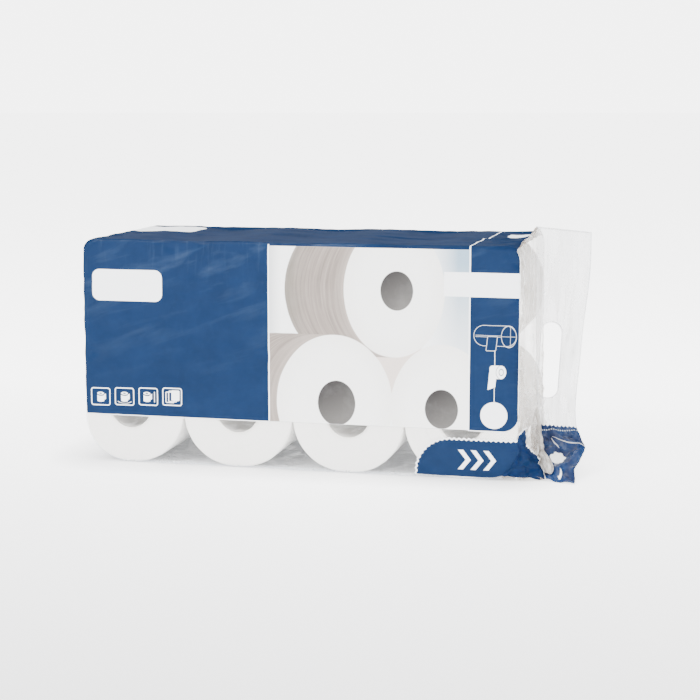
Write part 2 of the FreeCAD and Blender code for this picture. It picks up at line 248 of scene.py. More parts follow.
def add_piece(name, parts, merge=True):
    """One object from several grids of points in mm.

    Each part is (points, uv, closed_rows, closed_columns); uv is in metres and has one more
    row or column than the points where the grid is closed, so that a pattern runs on round.
    """
    coords, quads, uvs = [], [], []
    offset = 0
    for points, uv, closed_rows, closed_columns in parts:
        rows, columns = points.shape[:2]
        face, i, j = grid_quads(rows, columns, closed_rows, closed_columns)
        coords.append(points.reshape(-1, 3) * MM)
        quads.append(face + offset)
        uvs.append(uv[i, j].reshape(-1, 2))
        offset += rows * columns
    coords, quads, uvs = (np.concatenate(x) for x in (coords, quads, uvs))
    mesh = bpy.data.meshes.new(name)
    mesh.vertices.add(len(coords))
    mesh.vertices.foreach_set("co", coords.ravel())
    mesh.loops.add(quads.size)
    mesh.loops.foreach_set("vertex_index", quads.ravel().astype(np.int32))
    mesh.polygons.add(len(quads))
    mesh.polygons.foreach_set("loop_start", np.arange(0, quads.size, 4, dtype=np.int32))
    mesh.update(calc_edges=True)
    layer = mesh.uv_layers.new(name="film")
    layer.data.foreach_set("uv", uvs.ravel().astype(np.float32))
    if merge:
        body = bmesh.new()
        body.from_mesh(mesh)
        bmesh.ops.remove_doubles(body, verts=body.verts, dist=2e-6)
        bmesh.ops.dissolve_degenerate(body, edges=body.edges, dist=1e-7)
        bmesh.ops.recalc_face_normals(body, faces=body.faces)
        body.to_mesh(mesh)
        body.free()
    mesh.polygons.foreach_set("use_smooth", np.ones(len(mesh.polygons), bool))
    mesh.update()
    piece = bpy.data.objects.new(name, mesh)
    bpy.context.scene.collection.objects.link(piece)
    return piece


def finish_piece(piece, material, nodes=()):
    """Gives a piece its material and slot, says what it rides on, and hides the CAD nodes that it
    replaces.
    """
    piece.data.materials.clear()
    piece.data.materials.append(material)
    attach(piece, BODY)
    if nodes:
        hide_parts(*nodes)


# shader maths
class Value:
    """A float socket whose Python operators add Math nodes."""

    def __init__(self, shader, socket):
        self.shader = shader
        self.socket = socket

    def math(self, operation, *others, clamp=False):
        node = self.shader.node(
            "ShaderNodeMath", {"operation": operation, "use_clamp": clamp}, [self, *others]
        )
        return Value(self.shader, node.outputs[0])

    def __add__(self, other):
        return self.math("ADD", other)

    __radd__ = __add__

    def __sub__(self, other):
        return self.math("SUBTRACT", other)

    def __rsub__(self, other):
        return (self * -1.0) + other

    def __mul__(self, other):
        return self.math("MULTIPLY", other)

    __rmul__ = __mul__

    def __truediv__(self, other):
        return self.math("DIVIDE", other)

    def __pow__(self, other):
        return self.math("POWER", other)

    def __abs__(self):
        return self.math("ABSOLUTE")

    def least(self, other):
        return self.math("MINIMUM", other)

    def most(self, other):
        return self.math("MAXIMUM", other)

    def root(self):
        return self.math("SQRT")

    def sine(self):
        return self.math("SINE")

    def over(self, limit, soft=0.2):
        """1 where the value is over the limit and 0 under it, with a soft step."""
        return self.math("MULTIPLY_ADD", 0.5 / soft, 0.5 - 0.5 * limit / soft, clamp=True)

    def under(self, limit, soft=0.2):
        return self.math("MULTIPLY_ADD", -0.5 / soft, 0.5 + 0.5 * limit / soft, clamp=True)


class Shader:
    """A material's node tree, with the few calls that these finishes need."""

    def __init__(self, name, kind="materials"):
        self.material = getattr(bpy.data, kind).new(name)
        self.material.use_nodes = True
        self.tree = self.material.node_tree
        self.tree.nodes.clear()
        self.column = 0

    def node(self, kind, settings=None, inputs=None):
        node = self.tree.nodes.new(kind)
        self.column += 1
        node.location = (180 * (self.column % 24), -160 * (self.column // 24))
        for key, value in (settings or {}).items():
            if key == "stops":
                ramp = node.color_ramp.elements
                for stop, (place, colour) in zip(
                    (ramp[0], ramp[1], *(ramp.new(0.5) for _ in value[2:])), value
                ):
                    stop.position = place
                    stop.color = (*colour, 1.0)
            else:
                setattr(node, key, value)
        pairs = inputs.items() if isinstance(inputs, dict) else enumerate(inputs or ())
        for key, value in pairs:
            self.feed(node.inputs[key], value)
        return node

    def feed(self, socket, value):
        if isinstance(value, Value):
            value = value.socket
        if isinstance(value, bpy.types.NodeSocket):
            self.tree.links.new(value, socket)
        elif isinstance(value, (tuple, list)) and socket.type == "RGBA":
            socket.default_value = (*value[:3], 1.0)
        else:
            socket.default_value = value

    def plane(self):
        """The piece's flat film coordinates, in millimetres."""
        uv = self.node("ShaderNodeUVMap", {"uv_map": "film"}).outputs[0]
        parts = self.node("ShaderNodeSeparateXYZ", inputs=[uv])
        return uv, Value(self, parts.outputs[0]) / MM, Value(self, parts.outputs[1]) / MM

    def space(self):
        """Object coordinates as a vector and as three numbers in millimetres."""
        place = self.node("ShaderNodeTexCoord").outputs["Object"]
        parts = self.node("ShaderNodeSeparateXYZ", inputs=[place])
        return place, *(Value(self, parts.outputs[k]) / MM for k in range(3))

    def vector(self, x, y, z=0.0):
        return self.node("ShaderNodeCombineXYZ", inputs=[x, y, z]).outputs[0]

    def noise(self, place, scale, detail=2.0, rough=0.5, warp=0.0):
        settings = {"noise_dimensions": "3D"}
        inputs = {
            "Vector": place,
            "Scale": scale,
            "Detail": detail,
            "Roughness": rough,
            "Distortion": warp,
        }
        return Value(self, self.node("ShaderNodeTexNoise", settings, inputs).outputs[0])

    def mix(self, share, first, second):
        """The first colour where the share is 0, and the second where it is 1."""
        node = self.node("ShaderNodeMix", {"data_type": "RGBA"})
        self.feed(node.inputs[0], share)
        self.feed(node.inputs[6], first)
        self.feed(node.inputs[7], second)
        return node.outputs[2]

    def bump(self, height, strength, distance, normal=None):
        inputs = {"Height": height, "Strength": strength, "Distance": distance}
        if normal is not None:
            inputs["Normal"] = normal
        return self.node("ShaderNodeBump", inputs=inputs).outputs[0]

    def surface(self, **inputs):
        named = {key.replace("_", " "): value for key, value in inputs.items()}
        shader = self.node("ShaderNodeBsdfPrincipled", inputs=named)
        self.node("ShaderNodeOutputMaterial", inputs=[shader.outputs[0]])
        return self.material


def box_distance(x, z, left, right, low, high, corner=0.0):
    """Signed distance in mm to an upright rectangle, with rounded corners if asked."""
    dx = abs(x - (left + right) / 2) - ((right - left) / 2 - corner)
    dz = abs(z - (low + high) / 2) - ((high - low) / 2 - corner)
    if corner == 0.0:
        return dx.most(dz)
    outside = (dx.most(0.0) ** 2.0 + dz.most(0.0) ** 2.0).root()
    return outside + dx.most(dz).least(0.0) - corner


def disc_distance(x, z, at_x, at_z, radius, stretch=1.0):
    """Signed distance to a circle, or to an upright ellipse that is stretch times as high."""
    dx = x - at_x
    dz = (z - at_z) / stretch if stretch != 1.0 else z - at_z
    return (dx * dx + dz * dz).root() - radius


# rolls
SQUEEZE = 9.0
END_CORNER = 47.0
LOOSE_END = 0.6
TERRACE_RADIUS = 38.0
TERRACE_DEPTH = 0.5


def outline_reach(angle, left, half, corner, left_corner):
    """How far the pressed outline lies from the axis at each angle.

    A point on each ray steps outwards by its distance to the rounded rectangle until it
    lies on it.
    """
    x_way, z_way = np.cos(angle), np.sin(angle)
    reach = np.full_like(angle, 40.0)
    for _ in range(60):
        x, z = x_way * reach, z_way * reach
        radius = np.where(x < 0, left_corner, corner)
        qx = np.where(x < 0, -x - (left - left_corner), x - (half - corner))
        qz = np.abs(z) - (half - radius)
        gap = np.hypot(np.maximum(qx, 0), np.maximum(qz, 0)) - radius
        reach -= gap + np.minimum(np.maximum(qx, qz), 0)
    return reach


def roll_grid(centre, squeezed, outward, seed, width, half, core):
    """A wound roll as a closed grid: across the turns round the axis, and along its profile.

    The profile leaves the bore, crosses one end, turns over the soft rim, runs along the side
    and comes back over the other end. The ends carry a terrace, soft bands and the fine spiral
    of the winding; the side carries the loose end's step and soft lumps.
    """
    columns = 132
    left = half - SQUEEZE if squeezed else half
    corner = (8 * half - math.pi * (2 * half + 2.3)) / (8 - 2 * math.pi)
    left_corner = END_CORNER if squeezed else corner
    angle = math.radians(90) + np.linspace(0, 2 * math.pi, columns, endpoint=False)
    reach = outline_reach(angle, left, half, corner, left_corner)
    rim = 3.2
    share = np.linspace(0.0, 1.0, 25)
    turn = np.radians(np.linspace(0, 90, 6))[1:]
    side = np.linspace(-width / 2 + rim, width / 2 - rim, 22)[1:-1]
    end_r = np.concatenate([share, 1 + 0 * turn])
    end_rim = np.concatenate([0 * share, rim * np.sin(turn)])
    end_y = np.concatenate([0 * share, rim * (1 - np.cos(turn))])
    r_share = np.concatenate([end_r, np.ones(len(side)), end_r[::-1]])
    r_extra = np.concatenate([end_rim, np.full(len(side), rim), end_rim[::-1]]) - rim
    y = np.concatenate([end_y - width / 2, side, (width / 2 - end_y)[::-1]])
    rows = len(y)
    base = core + 0.1
    radius = base + (reach[None, :] - rim - base) * r_share[:, None]
    radius = radius + (r_extra + rim)[:, None]
    on_end = np.zeros(rows)
    on_end[: len(share)] = -1.0
    on_end[-len(share) :] = 1.0
    degrees = np.degrees(angle) % 360
    ramp = np.where((degrees > 40) & (degrees <= 90), (90 - degrees) / 50, 0.0)
    on_side = ease(width / 2 - np.abs(y), 1.2, 3.0)
    x = np.cos(angle)[None, :] * radius
    z = np.sin(angle)[None, :] * radius
    depth = np.broadcast_to(y[:, None], radius.shape)
    at = np.stack([x, depth, z], -1)
    lumps = 0.11 * ripple(at, 16.0, seed) * on_side[:, None]
    step = LOOSE_END * ramp[None, :] * on_side[:, None]
    grown = 1 + (lumps - 0.3 * on_side[:, None] + step) / radius
    x, z = x * grown, z * grown
    relief = 0.12 * ripple(at[..., [0, 2]], 30.0, seed + 1)
    turns = 2 * math.pi * (radius / 2.4) + angle[None, :]
    relief = np.minimum(relief + 0.05 * np.sin(turns) - 0.25, 0.0)
    stepped = 1 - ease(radius, TERRACE_RADIUS - 0.6, TERRACE_RADIUS + 0.6)
    edge = ease(radius - base, 0.0, 2.0)
    inset = np.where(on_end[:, None] == outward, TERRACE_DEPTH * stepped, 0.0)
    depth = depth + on_end[:, None] * (relief * edge - inset - 0.9 * (1 - edge))
    points = np.stack([x, depth, z], -1) + np.asarray(centre)
    profile = np.stack([r_share * 36 + r_extra, y], -1)
    run = np.concatenate([[0], np.cumsum(np.linalg.norm(np.diff(profile, axis=0), axis=1))])
    along = np.concatenate([run, [run[-1] + width]])
    around = np.linspace(0, 2 * math.pi * 59, columns + 1)
    uv = np.stack(np.meshgrid(around, along, indexing="xy"), -1) * MM
    return points, uv


def tissue_material(colours):
    """White tissue: fine rings on the ends, an embossed dot pattern and creases on the side."""
    shader = Shader("tissue")
    uv, around, along = shader.plane()
    place, x, y, z = shader.space()
    end = along.under(37.0, 1.0) + along.over(136.0, 1.0)
    mottle = shader.noise(place, 26.0, 3.0)
    fibre = shader.noise(place, 900.0, 3.0, 0.7)
    spiral = (along * (2 * math.pi / 1.1) + around / 59.0).sine()
    bands = shader.noise(shader.vector(0.0, 0.0, along), 0.55, 4.0, 0.7)
    dots = (around * (math.pi / 3.1)).sine() * (along * (math.pi / 3.1)).sine()
    creased = shader.noise(shader.vector(around * 0.012, along * 0.2), 1.0, 3.0, 0.6)
    rings = bands.over(0.56, 0.05) * end
    height = end * (spiral * 0.10 + bands * 0.9) + (1 - end) * (dots * 0.25 + creased * 1.1)
    height = height + fibre * 0.22
    tone = mottle.math("MULTIPLY_ADD", 0.30, 0.42, clamp=True)
    base = shader.mix(tone, linear(240, 237, 232), tuple(colours.paper))
    base = shader.mix(rings * 0.10, base, linear(206, 201, 194))
    return shader.surface(
        Base_Color=base,
        Roughness=0.92,
        Normal=shader.bump(height, 0.55, 0.0006),
        Sheen_Weight=0.25,
        Sheen_Roughness=0.6,
        Specular_IOR_Level=0.25,
    )


def card_material(colours, cell, first_x, first_z):
    """Grey-brown card with the spiral seams of a wound tube and short fibres."""
    shader = Shader("core_card")
    place, x, y, z = shader.space()
    dx = (x - first_x).math("WRAP", cell / 2, -cell / 2)
    dz = (z - first_z).math("WRAP", cell / 2, -cell / 2)
    angle = dz.math("ARCTAN2", dx)
    seam = ((angle + y * (2 * math.pi / 62.0)) * 0.5).sine()
    seam = abs(seam).under(0.05, 0.02)
    fibre = shader.noise(place, 420.0, 4.0, 0.7)
    stain = shader.noise(place, 60.0, 2.0)
    base = shader.mix(stain, tuple(colours.card), linear(243, 238, 230))
    base = shader.mix(seam * 0.4, base, linear(192, 184, 172))
    return shader.surface(
        Base_Color=base,
        Roughness=0.88,
        Normal=shader.bump(fibre * 0.4 - seam, 0.5, 0.0004),
        Specular_IOR_Level=0.3,
    )


class PACK_OT_wind_rolls(bpy.types.Operator):
    """Build the sixteen rolls of tissue and colour their card cores"""

    bl_idname = "rollpack.wind_rolls"
    bl_label = "Wind the rolls"

    def execute(self, context):
        sizes, colours = context.scene.roll_pack_sizes, context.scene.roll_pack_colours
        cell, width = sizes.cell / MM, sizes.roll_width / MM
        half = (cell - 0.3) / 2
        tissue = tissue_material(colours)
        seed = 11
        for layer in LAYERS:
            for row in ROWS:
                for column in range(1, COLUMNS + 1):
                    node = f"roll_{layer}_{row}_{column}"
                    low, high = node_box_mm(node)
                    centre = (high[0] - half, (low[1] + high[1]) / 2, (low[2] + high[2]) / 2)
                    outward = -1.0 if layer == "front" else 1.0
                    points, uv = roll_grid(
                        centre,
                        column == 1,
                        outward,
                        seed,
                        width,
                        half,
                        sizes.core_radius / MM,
                    )
                    piece = add_piece(f"tissue_{layer}_{row}_{column}", [(points, uv, True, True)])
                    finish_piece(piece, tissue, [node])
                    seed += 7
        low, high = node_box_mm("core_front_lower_4")
        middle = (low + high) / 2
        card = card_material(colours, cell, middle[0], middle[2])
        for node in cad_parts:
            if node.startswith("core_"):
                core = bpy.data.objects[node]
                for place in core.material_slots:
                    place.material = card
        return {"FINISHED"}


# the bag
TOP_LEFT_RADIUS = 14.0
BOTTOM_LEFT_RADIUS = 47.7
TOP_RIGHT_RADIUS = 12.0
BOTTOM_RIGHT_RADIUS = 30.0
FILM_EDGE = 3.0

# The gather line and the fin's free edge, as shares of the fin's width, of the bag's half
# depth and of its height
GATHER_SHARES = (
    (0.026, 0.0, 1.055),
    (0.031, 0.0, 0.860),
    (0.043, 0.0, 0.654),
    (0.055, 0.0, 0.447),
    (0.086, -0.02, 0.287),
    (0.155, -0.12, 0.173),
    (0.259, -0.38, 0.101),
    (0.328, -0.66, 0.051),
    (0.431, -0.90, 0.0095),
)
FREE_EDGE_SHARES = (
    (1.0, 0.0, 1.034),
    (0.991, 0.0, 0.844),
    (0.905, 0.0, 0.641),
    (0.836, 0.0, 0.439),
    (0.784, -0.01, 0.278),
    (0.828, -0.06, 0.165),
    (0.983, -0.33, 0.114),
    (0.985, -0.69, 0.066),
    (0.955, -1.0, 0.005),
)


class BagForm:
    """The bag's sizes in mm, and the lines that its surfaces hang from."""

    def __init__(self, sizes):
        self.length = sizes.half_length / MM
        self.depth = sizes.half_depth / MM
        self.height = sizes.height / MM
        self.fin = sizes.fin_width / MM

    def fin_line(self, shares, share):
        knots = np.array(shares) * (self.fin, self.depth, self.height)
        knots[:, 0] += self.length
        return spline(knots, share)

    def gather(self, share):
        return self.fin_line(GATHER_SHARES, share)

    def free_edge(self, share):
        return self.fin_line(FREE_EDGE_SHARES, share)

    def rise(self, x, left_radius, right_radius):
        """How far a rounded corner lifts the outline off its flat side at each x."""
        left = np.clip(left_radius - (x + self.length), 0, left_radius)
        right = np.clip(right_radius - (self.length - x), 0, right_radius)
        lift_left = left_radius - np.sqrt(left_radius**2 - left**2)
        lift_right = right_radius - np.sqrt(right_radius**2 - right**2)
        return np.maximum(lift_left, lift_right)


def ring_columns(form):
    """The bag's cross-section as a ring: a rectangle grown by a disc.

    For each column it gives the corner signs or shares of the inner rectangle, the outward
    direction, the run round the flat film in mm, and the height share on front and back.
    """
    counts = (92, 68, 56, 44)
    sides = ((-1, 0), (0, 1), (1, 0), (0, -1))
    lengths = (form.height, 2 * form.depth, form.height, 2 * form.depth)
    inner, outward, run = [], [], []
    start = 0.0
    for k, (count, (ny, nz), length) in enumerate(zip(counts, sides, lengths)):
        share = np.linspace(-1, 1, count)
        way = (-1, -1, 1, 1)[k]
        along = share if way < 0 else -share
        y = np.full(count, float(ny)) if ny else along * 1.0
        z = np.full(count, float(nz)) if nz else along * 1.0
        inner.append(np.stack([y, z], -1))
        outward.append(np.tile([float(ny), float(nz)], (count, 1)))
        run.append(start + FILM_EDGE / 2 + (share + 1) / 2 * (length - FILM_EDGE))
        start += length
        after = sides[(k + 1) % 4]
        turn = np.radians(np.linspace(0, 90, 6))[1:-1]
        arc = np.outer(np.cos(turn), (ny, nz)) + np.outer(np.sin(turn), after)
        inner.append(np.tile(inner[-1][-1], (len(turn), 1)))
        outward.append(arc)
        run.append(start - FILM_EDGE / 2 + FILM_EDGE * turn / (math.pi / 2))
    return np.concatenate(inner), np.concatenate(outward), np.concatenate(run), start


def body_rows(form):
    """The rows along the bag: the folded end, its rounded edge, the body and its far edge."""
    fold = np.linspace(1, 0, 27)[:-1]
    bend = BOTTOM_LEFT_RADIUS * (1 - np.cos(np.linspace(0, math.pi / 2, 24)))
    edge = -form.length + bend
    body = np.linspace(edge[-1], form.length - 31, 136)[1:]
    return fold, np.concatenate([edge, body])


def bag_grid(form):
    """The whole bag as one closed grid of rings, from its folded end to the gather line."""
    inner, outward, run, girth = ring_columns(form)
    fold, x_rows = body_rows(form)
    r = FILM_EDGE

    def ring(x, half_depth, low, high, radius):
        y = inner[:, 0] * (half_depth - radius) + outward[:, 0] * radius
        middle, half = (low + high) / 2, (high - low) / 2
        z = middle + inner[:, 1] * (half - radius) + outward[:, 1] * radius
        return np.stack([np.full(len(y), x) if np.isscalar(x) else x, y, z], -1)

    rings, along = [], []
    low0, high0 = BOTTOM_LEFT_RADIUS, form.height - TOP_LEFT_RADIUS
    depth0 = form.depth - r
    for s in fold:
        half_depth = depth0 * (1 - s)
        low = low0 + 62 * s
        high = high0 - 62 * s
        rings.append(ring(-form.length, half_depth, low, high, min(r * (1 - s), half_depth)))
        along.append(-form.length - depth0 * s)
    for x in x_rows:
        low = form.rise(x, BOTTOM_LEFT_RADIUS, BOTTOM_RIGHT_RADIUS)
        high = form.height - form.rise(x, TOP_LEFT_RADIUS, TOP_RIGHT_RADIUS)
        rings.append(ring(x, form.depth - form.rise(x, r, 1e-3), low, high, r))
        along.append(x)
    # the far edge: rings lean from the last upright one to the outline that the tent leaves
    x0 = x_rows[-1]
    height_share = np.clip((run - r / 2) / (form.height - r), 0, 1)
    back = run - form.height - 2 * form.depth
    on_back = (back > 0) & (back < form.height)
    height_share = np.where(on_back, 1 - np.clip(back / form.height, 0, 1), height_share)
    low_end, high_end = BOTTOM_RIGHT_RADIUS / 8, form.height - TOP_RIGHT_RADIUS / 3
    top = (run >= form.height) & (run <= form.height + 2 * form.depth)
    height_share = np.where(top, 1.0, height_share)
    bottom = run >= 2 * form.height + 2 * form.depth
    height_share = np.where(bottom, 0.0, height_share)
    z_end = low_end + height_share * (high_end - low_end)
    lift_low = BOTTOM_RIGHT_RADIUS - np.minimum(z_end, BOTTOM_RIGHT_RADIUS)
    lift_high = np.clip(z_end - (form.height - TOP_RIGHT_RADIUS), 0, TOP_RIGHT_RADIUS)
    x_low = BOTTOM_RIGHT_RADIUS - np.sqrt(BOTTOM_RIGHT_RADIUS**2 - lift_low**2)
    x_high = TOP_RIGHT_RADIUS - np.sqrt(TOP_RIGHT_RADIUS**2 - lift_high**2)
    x_end = form.length - np.maximum(x_low, x_high) - 2.4
    for s in np.linspace(0, 1, 15)[1:]:
        s = 1 - (1 - s) ** 1.5
        x = x0 + (x_end - x0) * s
        low = form.rise(x, 1e-3, BOTTOM_RIGHT_RADIUS)
        high = form.height - form.rise(x, 1e-3, TOP_RIGHT_RADIUS)
        low = np.minimum(low, low_end)
        high = np.maximum(high, high_end)
        rings.append(ring(x, form.depth, low, high, r))
        along.append(x0 + (form.length - 2.4 - x0) * s)
    # the tent: each column bends round the edge and runs straight to the gather line
    start = rings[-1]
    corner = start + np.stack([0 * x_end + 2.6, -0.35 * inner[:, 0], 0 * x_end], -1)
    goal = form.gather(1 - height_share)
    for s in np.linspace(0, 1, 43)[1:]:
        s = s**1.35
        rings.append((1 - s) ** 2 * start + 2 * s * (1 - s) * corner + s * s * goal)
        along.append(form.length - 2.4 + 97 * s)
    points = np.stack(rings)
    return points, np.array(along), run, girth, height_share


def void_depth(x, z, form, cell):
    """0 over the face of a roll and 1 in the middle of the gap that four rolls leave."""
    at_x = form.length - 0.55 - cell / 2
    dx = (x - at_x + cell / 2) % cell - cell / 2
    dz = (z - 0.55 - cell / 2 + cell / 2) % cell - cell / 2
    corner = np.hypot(np.maximum(np.abs(dx) - 3.7, 0), np.maximum(np.abs(dz) - 3.7, 0))
    return ease(corner, 55.0, 68.0)


def shaped_bag(form, cell):
    """The bag's grid with its relief: film dips between rolls, pleats and fine wrinkles."""
    points, along, run, girth, height_share = bag_grid(form)
    normals = grid_normals(points)
    middle = points[60, 20]
    if np.dot(normals[60, 20], (0, -1, 0)) < 0 and middle[1] < 0:
        normals = -normals
    x, z = points[..., 0], points[..., 2]
    rows, columns = x.shape
    across = np.broadcast_to(run[None, :], x.shape)
    length = np.broadcast_to(along[:, None], x.shape)
    flat = np.stack([length, across], -1)
    front = (across < form.height) & (length > -form.length)
    back = (across > form.height + 2 * form.depth) & (across < 2 * (form.height + form.depth))
    top = (across > form.height) & (across < form.height + 2 * form.depth)
    side = (front | back) & (length < form.length - 2.4)
    tent = ease(length, form.length - 2.4, form.length + 4)
    folded = 1 - ease(length, -form.length - 2, -form.length + 1)
    upright = (across < form.height) | back
    level_run = np.where(back, 2 * (form.height + form.depth) - z, z)
    inner_run = across + (level_run - across) * (1 - tent) * (1 - folded)
    printed_run = np.where(upright, inner_run, across)
    void = void_depth(x, z, form, cell)
    push = np.where(side, -1.9 * void, 0.0)
    valley = 0.5 - 0.5 * np.cos(2 * math.pi * (x - form.length + cell / 2) / cell)
    in_top = ease(across, form.height - 1, form.height + 5)
    in_top = in_top * (1 - ease(across, girth / 2 - 5, girth / 2 + 1))
    quiet = 1 - ease(np.abs(x), form.length - 30, form.length - 8)
    push = push - 2.6 * valley * in_top * quiet
    groove = np.exp(-(((across - form.height - form.depth) / 6.0) ** 2))
    push = push - 0.6 * groove * top * quiet
    # wrinkles: broad and shallow on the body, drawn towards the gathered end
    calm = (1 - tent) * (1 - 0.5 * folded)
    stretched = flat / (2.2, 1.0)
    wrinkle = 0.22 * ripple(stretched, 34.0, 5) + 0.10 * ripple(flat, 15.0, 6)
    push = push + wrinkle * calm * (1 - 0.4 * in_top) - 0.15 * calm
    drawn = ease(length, form.length - 70, form.length) * (1 - tent)
    pulled = flat / (5.0, 1.0)
    push = push + 0.35 * ripple(pulled, 11.0, 8) * drawn * (0.35 + 0.65 * (top | (z < 60)))
    for x0, z0, x1, z1, wide, tall in (
        (-112.0, 186.0, -44.0, 208.0, 2.6, 0.55),
        (-120.0, 176.0, -60.0, 190.0, 4.0, -0.5),
        (-190.0, 214.0, -176.0, 236.0, 2.2, 0.4),
        (-146.0, 200.0, -150.0, 236.0, 3.0, -0.45),
        (-84.0, 196.0, -88.0, 236.0, 2.4, 0.4),
        (-62.0, 58.0, -34.0, 110.0, 3.2, 0.35),
        (186.0, 226.0, 226.0, 150.0, 3.0, -0.35),
    ):
        way = np.array([x1 - x0, z1 - z0])
        reach = np.linalg.norm(way)
        dx, dz = length - x0, across - z0
        t = (dx * way[0] + dz * way[1]) / reach**2
        off = np.abs(dx * way[1] - dz * way[0]) / reach
        fade = ease(t, -0.15, 0.25) * (1 - ease(t, 0.75, 1.15))
        push = push + tall * np.exp(-((off / wide) ** 2)) * fade * (1 - tent)
    # the film can only sink where there is no roll close under it
    off_axis = np.abs((x - form.length + cell / 2 + cell / 2) % cell - cell / 2)
    drop = 54.6 - np.sqrt(54.6**2 - np.clip(off_axis - 4.25, 0, 54) ** 2)
    room = 0.45 + np.where(upright, 2.2 * void, np.minimum(drop, 4.0)) * (1 - folded)
    push = push + (np.maximum(push, -room) - push) * (1 - tent)
    # the folded end: top and bottom flaps lie over the side ones
    flap = np.clip((np.abs(z - form.height / 2) - np.abs(points[..., 1]) - 16) / 3, 0, 1)
    push = push + folded * (0.35 * flap + 0.10 * ripple(flat, 20.0, 9))
    # pleats of the gathered end run to the gather line and grow towards the neck
    s = np.clip((length - form.length + 2.4) / 97, 0, 1)
    level = np.broadcast_to(1 - height_share[None, :], s.shape)
    on_side = ((across < form.height) | back).astype(float)
    low_neck = ease(level, 0.60, 0.95)
    warp = level * 26 + 0.55 * ripple(np.stack([s * 2.0, level * 6], -1), 1.0, 21)
    pleat = 1 - 2 * np.abs((warp * (1 + 0.25 * low_neck)) % 1.0 - 0.5) * 2
    fine = ripple(np.stack([s * 30, level * 230], -1), 9.0, 22)
    sharp = creases(np.stack([s * 40, level * 240], -1), 46.0, 23, 0.22)
    envelope = ease(s, 0.02, 0.3) * (1 - ease(s, 0.93, 1.0))
    lift = 0.55 * pleat + 0.5 * fine + 1.8 * sharp * (0.4 + low_neck)
    push = push + tent * envelope * on_side * lift * (0.8 + 0.9 * low_neck)
    gusset = (1 - on_side) * tent * envelope
    push = push + gusset * (1.2 * np.sin(across / 7.0) + 0.8 * fine)
    closing = (length >= form.length + 94).astype(float)
    points = points + normals * (push * (1 - closing))[..., None]
    points[..., 2] = np.maximum(points[..., 2], 0.05)
    ends = points[..., 0] > form.length + 0.3
    points[..., 1] = np.where(ends, np.clip(points[..., 1], -form.depth, form.depth), points[..., 1])
    closing_run = np.concatenate([printed_run, np.full((rows, 1), girth)], axis=1)
    film_run = np.broadcast_to(along[:, None], closing_run.shape)
    return points, np.stack([film_run, closing_run], -1) * MM


def roll_symbol(x, z, at_x, at_z, size):
    """A plain roll standing up: its body, its oval top, the eye of the core and a loose sheet."""
    low, high, half = at_z - 0.42 * size, at_z + 0.27 * size, 0.40 * size
    body = box_distance(x, z, at_x - half, at_x + half, low, high)
    foot = disc_distance(x, z, at_x, low, half, 0.34)
    cut = disc_distance(x, z, at_x, high, half * 1.04, 0.40)
    top = disc_distance(x, z, at_x, high + 0.13 * size, half, 0.40)
    eye = disc_distance(x, z, at_x, high + 0.13 * size, 0.17 * size, 0.42)
    right = at_x + half
    sheet = box_distance(
        x, z - x * 0.5, right, right + 0.2 * size, low + 0.1 * size - right * 0.5, high - right * 0.5
    )
    return body.least(foot).most(cut * -1.0).least(top.most(eye * -1.0)).least(sheet)


def printed_rolls(shader, u, v, tone):
    """The picture in the window: three plain rolls in front of a pale ground."""
    left_fade = u.under(-22.0, 7.0)
    cool = u.over(152.0, 16.0) * v.over(150.0, 70.0)
    ground = shader.mix(left_fade * 0.75, linear(246, 247, 247), linear(178, 180, 184))
    ground = shader.mix(cool, ground, linear(140, 163, 182))
    under = disc_distance(u, v, 108.0, 112.0, 30.0).under(0.0, 3.0)
    ground = shader.mix(under, ground, linear(212, 199, 192))
    picture = ground
    rolls = (
        (102.5, 190.0, 52.0, 68.0, 62.0, 3.0),
        (40.5, 73.0, 61.0, 70.5, 62.0, 2.5),
        (152.0, 71.0, 52.5, 66.0, 0.0, 0.0),
    )
    for at_x, at_z, wide, tall, side, lean in rolls:
        end = disc_distance(u, v, at_x, at_z, wide, tall / wide)
        if side:
            far = disc_distance(u, v, at_x - side, at_z, wide, tall / wide)
            between = box_distance(u, v, at_x - side, at_x, at_z - tall, at_z + tall)
            flank = far.least(between).under(0.0, 0.35)
            bow = ((1.0 - ((v - at_z) / tall) ** 2.0).most(0.0)).root()
            band = u + bow * wide
            lines = shader.noise(shader.vector(band * 0.35, v * 0.012), 1.0, 3.0, 0.65)
            skin = shader.mix(lines.math("MULTIPLY_ADD", 2.4, -0.7, clamp=True),
                              linear(116, 107, 101), linear(150, 140, 133))
            olive = (u - (at_x - side - wide * 0.75)).under(0.0, 12.0)
            skin = shader.mix(olive * 0.6, skin, linear(108, 106, 97))
            near_rim = end.under(6.0, 6.0)
            skin = shader.mix(near_rim * 0.35, skin, linear(176, 166, 158))
            picture = shader.mix(flank, picture, skin)
        shade = end.over(-9.0, 9.0)
        face = shader.mix(shade * 0.45, linear(247, 247, 245), linear(228, 225, 221))
        picture = shader.mix(end.under(0.0, 0.35), picture, face)
        core = disc_distance(u, v, at_x + lean, at_z, wide * 0.325, 1.18)
        slope = (v - at_z) * -0.025 + (u - at_x) * 0.012
        grey = slope.math("ADD", 0.5, clamp=True)
        hole = shader.mix(grey, linear(54, 52, 52), linear(92, 90, 88))
        picture = shader.mix(core.under(0.0, 0.35), picture, hole)
    return shader.mix(tone * 0.04, picture, linear(206, 206, 206))


